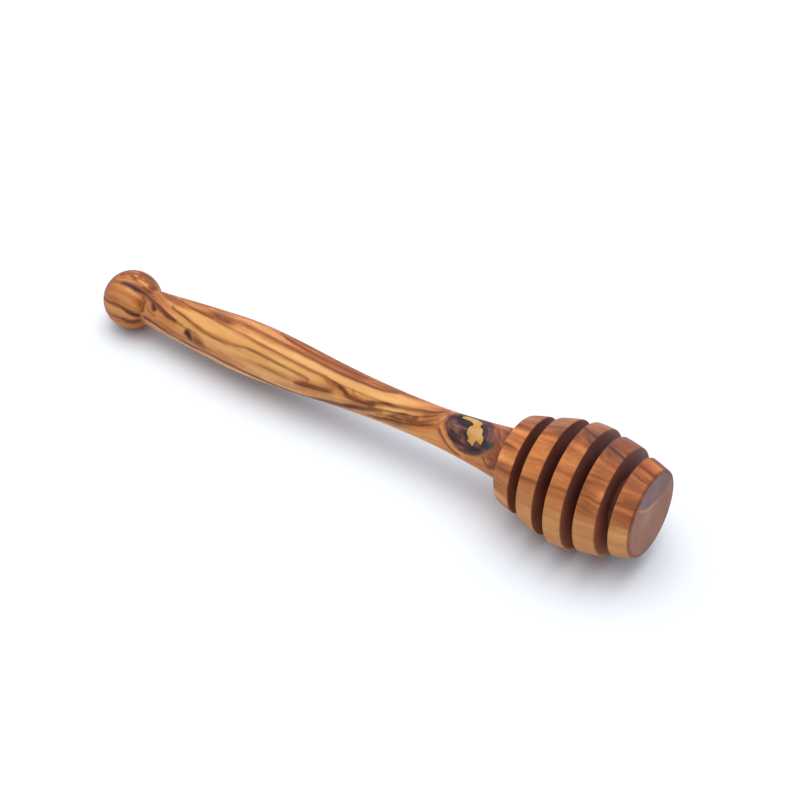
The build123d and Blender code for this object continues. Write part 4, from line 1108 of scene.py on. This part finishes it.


# the lower side of the head: painted floor bounce makes it paler, tan and bluish, and lighter in the grooves, while the
# upper side keeps the orange
g_lower = soft_step(60, 76, GP) * (1 - soft_step(150, 178, GP))
g_upper = 1 - soft_step(-14, 6, GP)
g_front = soft_step(144, 150, GS)
g_red = np.clip(0.8 * g_blob(158, -17, 3.5, 14) + 0.4 * g_blob(150, -22, 3, 12) + 0.4 * g_blob(142, -22, 3, 9)
                + 0.35 * g_blob(158, 56, 4, 9) + 0.2 * g_blob(150, 56, 5, 8) + 0.12 * g_wide, 0, 1)
g_near = soft_step(-80, -52, GP) * (1 - soft_step(150, 178, GP))
g_grey = np.clip(0.50 * g_near * (1 - soft_step(-12, 10, GP)) * (1 - soft_step(146, 154, GS)) + 0.35 * g_blob(142.6, -10, 2.2, 4)
                 + 0.45 * g_blob(150.6, -3, 2.0, 5) + 0.3 * g_blob(134.0, -6, 3, 6) + 0.3 * g_blob(149, -36, 4, 12), 0, 1)
g_active = np.exp(-((GP - 22) / 42.0) ** 2)
g_tone = (0.44 + (0.05 + 0.05 * g_active) * g_fine + (0.05 + 0.09 * g_active) * g_mid + 0.05 * g_wide
          - 0.06 * g_lower + 0.10 * g_red + 0.16 * g_upper * g_near * (1 - 0.5 * g_front) + 0.24 * g_front * (1 - g_lower) * (1 - 0.7 * g_blob(158, -22, 5, 16))
          + 0.16 * g_blob(126, 46, 3, 12) + 0.14 * g_blob(148.6, 50, 2.2, 22) + 0.10 * g_blob(142, 2, 3, 14)
          - 0.10 * g_blob(126, 6, 3, 12) - 0.14 * g_blob(158, -22, 4, 16) + 0.08 * g_blob(142, -8, 3, 8)
          + 0.16 * g_blob(129, -6, 3, 14) + 0.20 * g_blob(136, 0, 4, 10) + 0.26 * g_blob(141.5, -4, 2.6, 10)
          + 0.30 * g_blob(146.5, 1, 2.6, 9) + 0.12 * g_blob(142, 36, 4, 9) - 0.16 * g_blob(153, 44, 2.5, 8)
          + 0.08 * g_blob(158, 26, 3, 12) + 0.08 * g_blob(133, 12, 6, 12) - 0.18 * g_blob(152.4, 43, 1.6, 6)
          + 0.12 * g_blob(145.6, -4, 2.6, 9) + 0.12 * g_blob(147, 42, 1.6, 5) + 0.05 * g_blob(155.6, -16, 1.8, 22)
          + 0.12 * g_blob(148.4, -2, 2.4, 9) + 0.12 * g_blob(144, -2, 2.0, 9) - 0.14 * g_blob(152.6, 43, 1.4, 5)
          + 0.10 * g_blob(150, 26, 3, 10) + 0.06 * g_blob(158, -4, 4, 12) + 0.22 * g_blob(145.6, 40, 2.4, 7) + 0.05 * (1 - g_lower) * (1 - soft_step(142, 147, GS))
          + 0.12 * g_blob(142, 4, 5, 10) + 0.10 * g_blob(148, -6, 3, 9) - 0.12 * g_blob(139, -28, 4, 12) - 0.06 * g_blob(140, -20, 3, 12) + 0.10 * g_blob(144, 4, 2, 9)
          - 0.20 * g_blob(142.2, 3, 1.6, 6) + 0.16 * g_blob(140.2, 10, 2.0, 6) + 0.14 * g_blob(137, 4, 1.6, 9)
          + 0.16 * g_blob(147.3, -7, 1.0, 5) + 0.14 * g_blob(144.2, -6, 0.9, 6) + 0.12 * g_blob(147, 41, 1.5, 5) - 0.14 * g_blob(152.4, 53, 1.5, 5) - 0.07 * g_blob(147, 30, 1.8, 6)
          + 0.07 * g_blob(156.5, 24, 3, 14) + 0.06 * g_blob(156, 74, 3, 10) + 0.05 * g_blob(153, -18, 3, 16)
          + 0.10 * g_blob(144.4, -3, 1.2, 6) + 0.09 * g_blob(147.2, -6, 1.2, 8) - 0.06 * g_blob(155, 108, 4, 16)
          + 0.06 * g_blob(122.5, -18, 3, 14))
g_hue = 0.55 + 0.30 * g_red - 0.05 * g_lower
g_orange = np.clip(1 - g_lower - 0.6 * g_grey, 0, 1) * 0.60

s, r, phi, y, z = coords(head.data)
x = np.clip(s, HEAD_START, LENGTH) - HEAD_START
rim_here = np.interp(s, rim_s, rim_r)
depth = np.maximum(rim_here - r, 0)
between = np.zeros(len(s))
for i in range(4):
    between = np.maximum(between, ((s > DISCS[i][2] - 0.02) & (s < DISCS[i + 1][0] + 0.02)).astype(float))
end = ((s > LENGTH - 0.02) & (r < 10.6)).astype(float)
back = ((s < HEAD_START + 0.02)).astype(float)
bore = (r < BORE_R + 0.05) & (s < BORE_END + 0.1)
groove_dark = between * soft_step(0.03, 0.42, depth)
for k, g in {"tone": g_tone, "hue": g_hue, "dark": g_dark, "plum": g_plum, "rust": g_rust,
             "orange": g_orange, "lower": g_lower, "grey": g_grey, "under_bounce": 0.35 * g_lower}.items():
    put(head.data, k, np.where(back > 0, across(G, g, 0.0, float(r[back > 0].max()), y, z, 98), G.sample(g, x, phi)))
put(head.data, "groove_dark", groove_dark)
# painted shade: darker towards the bottom of each groove
put(head.data, "groove_deep_shade", between * soft_step(3.0, 8.5, depth))
put(head.data, "end", np.maximum(end, bore))
# the edge across the end face, between the plum-grey heartwood and the tan wood
edge_z = [-9.6, -9.0, -7.5, -6.2, -4.8, -2.7, -0.3, 0.7, 3.2, 6.0, 7.2]
edge_y = [4.5, 4.0, 3.3, 2.4, 2.4, 2.6, 3.45, 3.45, 4.5, 7.0, 8.2]
line = (y - np.interp(z, edge_z, edge_y)) * 0.85
put(head.data, "heart", soft_step(-0.22, 0.22, line) * end)
put(head.data, "seam", np.exp(-((line + 0.62) / 0.42) ** 2) * soft_step(-5.5, 0.5, z) * (1 - 0.6 * soft_step(5.0, 6.5, z)) * end)
put(head.data, "paler", np.exp(-((y - 0.9) / 2.6) ** 2 - ((z - 2.9) / 3.0) ** 2) * end)
# painted shade: a dark line along the rounded edge of the end face
put(head.data, "end_edge_shade", soft_step(9.9, 10.4, r) * (s > LENGTH - 0.45) * (r < 10.95))
put(head.data, "back", back)
smooth(head)


# ---------------------------------------------------------------------------
# Materials
# ---------------------------------------------------------------------------
def lin(r, g, b):
    def f(c):
        c /= 255.0
        return c / 12.92 if c <= 0.04045 else ((c + 0.055) / 1.055) ** 2.4
    return (f(r), f(g), f(b), 1.0)


class Tree:
    def __init__(self, name):
        self.mat = bpy.data.materials.new(name)
        self.mat.use_nodes = True
        self.t = self.mat.node_tree
        self.t.nodes.clear()
        self.out = self.t.nodes.new("ShaderNodeOutputMaterial")
        self.b = self.t.nodes.new("ShaderNodeBsdfPrincipled")
        self.t.links.new(self.b.outputs[0], self.out.inputs[0])

    def node(self, kind, **kw):
        n = self.t.nodes.new(kind)
        for k, v in kw.items():
            setattr(n, k, v)
        return n

    def link(self, a, b):
        self.t.links.new(a, b)

    def feed(self, socket, v):
        if isinstance(v, bpy.types.NodeSocket):
            self.link(v, socket)
        else:
            socket.default_value = v

    def attr(self, name):
        return self.node("ShaderNodeAttribute", attribute_type="GEOMETRY", attribute_name=name).outputs["Fac"]

    def math(self, op, a, b=None, c=None, clamp=False):
        n = self.node("ShaderNodeMath", operation=op, use_clamp=clamp)
        for i, v in enumerate((a, b, c)):
            if v is not None:
                self.feed(n.inputs[i], v)
        return n.outputs[0]

    def mix(self, fac, a, b, how="MIX"):
        n = self.node("ShaderNodeMix", data_type="RGBA", blend_type=how)
        n.clamp_factor = True
        self.feed(n.inputs[0], fac)
        self.feed(n.inputs[6], a)
        self.feed(n.inputs[7], b)
        return n.outputs[2]

    def ramp(self, fac, stops, ease="LINEAR"):
        n = self.node("ShaderNodeValToRGB")
        n.color_ramp.interpolation = ease
        e = n.color_ramp.elements
        e[0].position, e[0].color = stops[0]
        e[1].position, e[1].color = stops[-1]
        for p, c in stops[1:-1]:
            k = e.new(p)
            k.color = c
        self.feed(n.inputs[0], fac)
        return n.outputs[0]

    def mapped(self, scale, rot=(0, 0, 0), loc=(0, 0, 0)):
        co = self.node("ShaderNodeTexCoord")
        m = self.node("ShaderNodeMapping")
        m.inputs["Location"].default_value = loc
        m.inputs["Rotation"].default_value = rot
        m.inputs["Scale"].default_value = scale
        self.link(co.outputs["Object"], m.inputs["Vector"])
        return m.outputs[0]

    def noise(self, vec, scale=1.0, detail=3.0, rough=0.55, distort=0.0):
        n = self.node("ShaderNodeTexNoise")
        self.link(vec, n.inputs["Vector"])
        n.inputs["Scale"].default_value = scale
        n.inputs["Detail"].default_value = detail
        n.inputs["Roughness"].default_value = rough
        n.inputs["Distortion"].default_value = distort
        return n.outputs[0]

    def bump(self, height, strength, distance):
        n = self.node("ShaderNodeBump")
        n.inputs["Strength"].default_value = strength
        n.inputs["Distance"].default_value = distance
        self.link(height, n.inputs["Height"])
        self.link(n.outputs[0], self.b.inputs["Normal"])


GRAIN_ROT = (0, -TILT, 0)


def wood_body(t):
    """Colour of the plain wood, its dark lines and its fine pores."""
    pores = t.noise(t.mapped((260, 2600, 2600), GRAIN_ROT), 1.0, 2.0, 0.6)
    cloud = t.noise(t.mapped((45, 260, 260), GRAIN_ROT), 1.0, 3.0, 0.55)
    tone = t.math("ADD", t.attr("tone"), t.math("MULTIPLY", t.math("SUBTRACT", pores, 0.5), 0.16))
    tone = t.math("ADD", tone, t.math("MULTIPLY", t.math("SUBTRACT", cloud, 0.5), 0.20))
    golden = t.ramp(tone, [(0.0, lin(238, 184, 112)), (0.25, lin(228, 166, 94)), (0.5, lin(206, 138, 74)),
                           (0.75, lin(170, 103, 55)), (1.0, lin(128, 74, 42))])
    reddish = t.ramp(tone, [(0.0, lin(226, 154, 98)), (0.25, lin(212, 136, 84)), (0.5, lin(186, 110, 66)),
                            (0.75, lin(150, 84, 54)), (1.0, lin(110, 60, 42))])
    hue = t.math("MULTIPLY", t.math("SUBTRACT", t.attr("hue"), 0.35), 2.2, clamp=True)
    col = t.mix(hue, golden, reddish)
    orange = t.mix(1.0, col, lin(255, 214, 168), "MULTIPLY")
    col = t.mix(t.math("MULTIPLY", t.attr("orange"), 0.55), col, orange)
    line = t.ramp(t.attr("dark"), [(0.0, lin(206, 142, 82)), (0.35, lin(168, 103, 56)), (0.65, lin(132, 76, 42)), (1.0, lin(88, 48, 30))])
    amount = t.ramp(t.attr("dark"), [(0.0, (0, 0, 0, 1)), (0.15, (0.2, 0.2, 0.2, 1)), (0.5, (0.75, 0.75, 0.75, 1)), (0.85, (1, 1, 1, 1)), (1.0, (1, 1, 1, 1))])
    col = t.mix(amount, col, line)
    rust = t.mix(t.math("MULTIPLY", t.attr("rust"), 0.8), col, lin(150, 78, 44))
    col = rust
    plum = t.ramp(t.attr("plum"), [(0.0, lin(160, 100, 68)), (0.45, lin(134, 80, 58)), (0.75, lin(98, 58, 50)), (1.0, lin(62, 40, 42))])
    col = t.mix(t.math("MULTIPLY", t.attr("plum"), 0.95), col, plum)
    col = t.mix(1.0, col, (1.0, 0.985, 1.05, 1), "MULTIPLY")
    # painted floor bounce: a bluish cast over the underside
    col = t.mix(t.attr("under_bounce"), col, t.mix(1.0, col, (1.02, 1.08, 1.22, 1), "MULTIPLY"))
    return col, pores, cloud


def finish_wood(t, col, rough, pores, cloud):
    t.link(col, t.b.inputs["Base Color"])
    r = t.math("ADD", rough, t.math("MULTIPLY", t.math("SUBTRACT", cloud, 0.5), 0.16))
    t.link(r, t.b.inputs["Roughness"])
    t.b.inputs["Specular IOR Level"].default_value = 0.22
    t.b.inputs["IOR"].default_value = 1.38
    t.b.inputs["Coat Weight"].default_value = 0.0
    t.bump(pores, 0.25, 0.00012)


def handle_material():
    t = Tree("handle_wood")
    col, pores, cloud = wood_body(t)
    # the knot
    k = t.math("ADD", t.attr("k_tex"), t.math("MULTIPLY", t.math("SUBTRACT", cloud, 0.5), 0.5))
    umber = t.ramp(t.attr("tone"), [(0.2, lin(200, 130, 96)), (0.6, lin(150, 92, 70)), (0.9, lin(104, 60, 50))])
    col = t.mix(t.math("MULTIPLY", t.attr("umber"), 0.7), col, umber)
    kc = t.ramp(k, [(0.15, lin(52, 38, 38)), (0.4, lin(82, 54, 49)), (0.6, lin(102, 67, 59)), (0.85, lin(138, 90, 75))])
    halo = t.math("MULTIPLY", t.math("SUBTRACT", t.attr("knot_halo"), t.attr("knot"), clamp=True), 0.9)
    col = t.mix(halo, col, lin(128, 74, 52))
    col = t.mix(t.attr("knot"), col, kc)
    col = t.mix(t.math("MULTIPLY", t.attr("k_pink"), 0.8), col, lin(140, 92, 88))
    col = t.mix(t.math("MULTIPLY", t.attr("k_plum"), 0.85), col, lin(74, 48, 60))
    col = t.mix(t.math("MULTIPLY", t.attr("k_black"), 0.92), col, lin(40, 34, 36))
    col = t.mix(t.math("MULTIPLY", t.attr("k_blue"), 0.85), col, lin(48, 48, 78))
    col = t.mix(t.math("MULTIPLY", t.attr("k_green"), 0.94), col, lin(42, 64, 60))
    finish_wood(t, col, 0.5, pores, cloud)
    return t.mat


def head_material():
    t = Tree("head_wood")
    col, pores, cloud = wood_body(t)
    # painted floor bounce: the lower half in a paler, greyer tan
    tan = t.mix(1.0, col, lin(236, 226, 222), "MULTIPLY")
    col = t.mix(t.math("MULTIPLY", t.attr("lower"), 0.7), col, tan)
    greyish = t.ramp(t.attr("tone"), [(0.2, lin(158, 118, 104)), (0.6, lin(126, 92, 86)), (1.0, lin(96, 66, 66))])
    col = t.mix(t.math("MULTIPLY", t.attr("grey"), 0.75), col, greyish)
    # grooves: a darker colour over walls and floors, darkened further towards the bottom as painted shade and lightened
    # on the lower side as painted floor light
    ring = t.noise(t.mapped((2600, 130, 130), GRAIN_ROT), 1.0, 2.0, 0.5)
    groove_colour = t.mix(ring, lin(118, 66, 54), lin(140, 83, 68))
    groove_colour = t.mix(t.math("MULTIPLY", t.attr("groove_deep_shade"), 0.55), groove_colour, lin(78, 46, 48))
    groove_colour = t.mix(t.attr("lower"), groove_colour, t.mix(1.0, groove_colour, (1.36, 1.30, 1.12, 1), "MULTIPLY"))
    col = t.mix(t.math("MULTIPLY", t.attr("groove_dark"), 0.96), col, groove_colour)
    # end face: end grain, its pinkish, greyed colours also holding a painted reflection of the white surroundings
    dots = t.noise(t.mapped((900, 1500, 1500), GRAIN_ROT), 1.0, 3.0, 0.65)
    broad = t.noise(t.mapped((50, 220, 120), GRAIN_ROT), 1.0, 3.0, 0.5)
    g = t.math("ADD", t.math("MULTIPLY", dots, 0.35), t.math("MULTIPLY", broad, 0.65))
    face = t.ramp(g, [(0.3, lin(146, 94, 76)), (0.5, lin(156, 103, 83)), (0.7, lin(166, 113, 92))])
    face = t.mix(t.math("MULTIPLY", t.attr("paler"), 0.75), face, lin(170, 124, 98))
    heart = t.ramp(g, [(0.3, lin(116, 82, 76)), (0.5, lin(128, 93, 88)), (0.7, lin(140, 104, 98))])
    face = t.mix(t.attr("heart"), face, heart)
    face = t.mix(t.math("MULTIPLY", t.attr("seam"), 0.7), face, lin(190, 142, 118))
    col = t.mix(t.attr("end"), col, face)
    # painted shade along the rounded edge of the end face
    col = t.mix(t.math("MULTIPLY", t.attr("end_edge_shade"), 0.7), col, lin(118, 62, 44))
    finish_wood(t, col, 0.52, pores, cloud)
    return t.mat


def glue_material():
    t = Tree("dried_glue")
    v = t.noise(t.mapped((900, 900, 900)), 1.0, 3.0, 0.6)
    col = t.ramp(v, [(0.3, lin(196, 166, 112)), (0.7, lin(222, 198, 150))])
    t.link(col, t.b.inputs["Base Color"])
    t.b.inputs["Roughness"].default_value = 0.3
    t.bump(v, 0.3, 0.0001)
    return t.mat


def fill_material():
    t = Tree("knot_fill")
    big = t.noise(t.mapped((420, 420, 420)), 1.0, 3.0, 0.55, 0.6)
    fleck = t.noise(t.mapped((2400, 2400, 2400)), 1.0, 2.0, 0.6)
    v = t.math("ADD", t.math("MULTIPLY", big, 0.7), t.math("MULTIPLY", fleck, 0.3))
    col = t.ramp(v, [(0.28, lin(170, 114, 48)), (0.42, lin(192, 140, 62)), (0.58, lin(204, 154, 73)), (0.75, lin(226, 182, 108))])
    t.link(col, t.b.inputs["Base Color"])
    t.b.inputs["Roughness"].default_value = 0.36
    t.b.inputs["Specular IOR Level"].default_value = 0.5
    t.bump(v, 0.35, 0.00015)
    return t.mat


def wear(obj, mat):
    obj.data.materials.clear()
    obj.data.materials.append(mat)


wear(handle, handle_material())
wear(head, head_material())
wear(filler, fill_material())
wear(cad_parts["glue_line"], glue_material())
wear(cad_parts["knot_filler"], filler.data.materials[0])
wear(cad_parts["handle"], handle.data.materials[0])
wear(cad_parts["head"], head.data.materials[0])

for obj, node, slot in ((handle, "handle", "handle_wood"), (head, "head", "head_wood"),
                        (filler, "knot_filler", "knot_fill")):
    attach(obj, "root")
    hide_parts(node)


# ---------------------------------------------------------------------------
# Floor and light
# ---------------------------------------------------------------------------
def make_floor():
    n = 24
    size = 3.0
    v = [(-size + 2 * size * i / n, -size + 2 * size * j / n, 0.0) for j in range(n + 1) for i in range(n + 1)]
    f = [(j * (n + 1) + i, j * (n + 1) + i + 1, (j + 1) * (n + 1) + i + 1, (j + 1) * (n + 1) + i)
         for j in range(n) for i in range(n)]
    o = mesh_from("studio_floor", v, f)
    t = Tree("studio_paper")
    t.b.inputs["Base Color"].default_value = (0.875, 0.928, 0.966, 1)
    t.b.inputs["Roughness"].default_value = 0.9
    t.b.inputs["Specular IOR Level"].default_value = 0.1
    wear(o, t.mat)


def make_light():
    """A soft white dome, brightest overhead and a little behind, dim near the horizon."""
    world = bpy.data.worlds.new("studio")
    bpy.context.scene.world = world
    world.use_nodes = True
    nt = world.node_tree
    nt.nodes.clear()

    def node(kind, **kw):
        n = nt.nodes.new(kind)
        for k, v in kw.items():
            setattr(n, k, v)
        return n

    out = node("ShaderNodeOutputWorld")
    co = node("ShaderNodeTexCoord")
    xyz = node("ShaderNodeSeparateXYZ")
    nt.links.new(co.outputs["Generated"], xyz.inputs[0])
    up = node("ShaderNodeMath", operation="MAXIMUM")
    nt.links.new(xyz.outputs[2], up.inputs[0])
    up.inputs[1].default_value = 0.0
    facing = node("ShaderNodeVectorMath", operation="DOT_PRODUCT")
    nt.links.new(co.outputs["Generated"], facing.inputs[0])
    facing.inputs[1].default_value = DOME_AXIS
    bright = node("ShaderNodeMath", operation="MAXIMUM")
    nt.links.new(facing.outputs["Value"], bright.inputs[0])
    bright.inputs[1].default_value = 0.0
    rise = node("ShaderNodeMath", operation="POWER")
    nt.links.new(bright.outputs[0], rise.inputs[0])
    rise.inputs[1].default_value = DOME_POWER
    level = node("ShaderNodeMath", operation="MULTIPLY_ADD")
    nt.links.new(rise.outputs[0], level.inputs[0])
    level.inputs[1].default_value = DOME_TOP
    level.inputs[2].default_value = DOME_LOW
    dome = node("ShaderNodeBackground")
    tint = node("ShaderNodeMix", data_type="RGBA")
    tint.clamp_factor = True
    low = node("ShaderNodeMath", operation="POWER")
    nt.links.new(up.outputs[0], low.inputs[0])
    low.inputs[1].default_value = 0.45
    nt.links.new(low.outputs[0], tint.inputs[0])
    tint.inputs[6].default_value = (0.50, 0.96, 1.66, 1)
    tint.inputs[7].default_value = (1.03, 1.0, 0.97, 1)
    nt.links.new(tint.outputs[2], dome.inputs[0])
    nt.links.new(level.outputs[0], dome.inputs[1])
    nt.links.new(dome.outputs[0], out.inputs[0])


DOME_AXIS = (-0.095, 0.145, 0.985)
DOME_LOW, DOME_TOP, DOME_POWER = 0.275, 2.92, 4.0
make_floor()
make_light()

bpy.context.scene.view_settings.view_transform = "Standard"
bpy.context.scene.view_settings.look = "None"
bpy.context.scene.view_settings.exposure = 0.0
bpy.context.scene.view_settings.gamma = 1.0
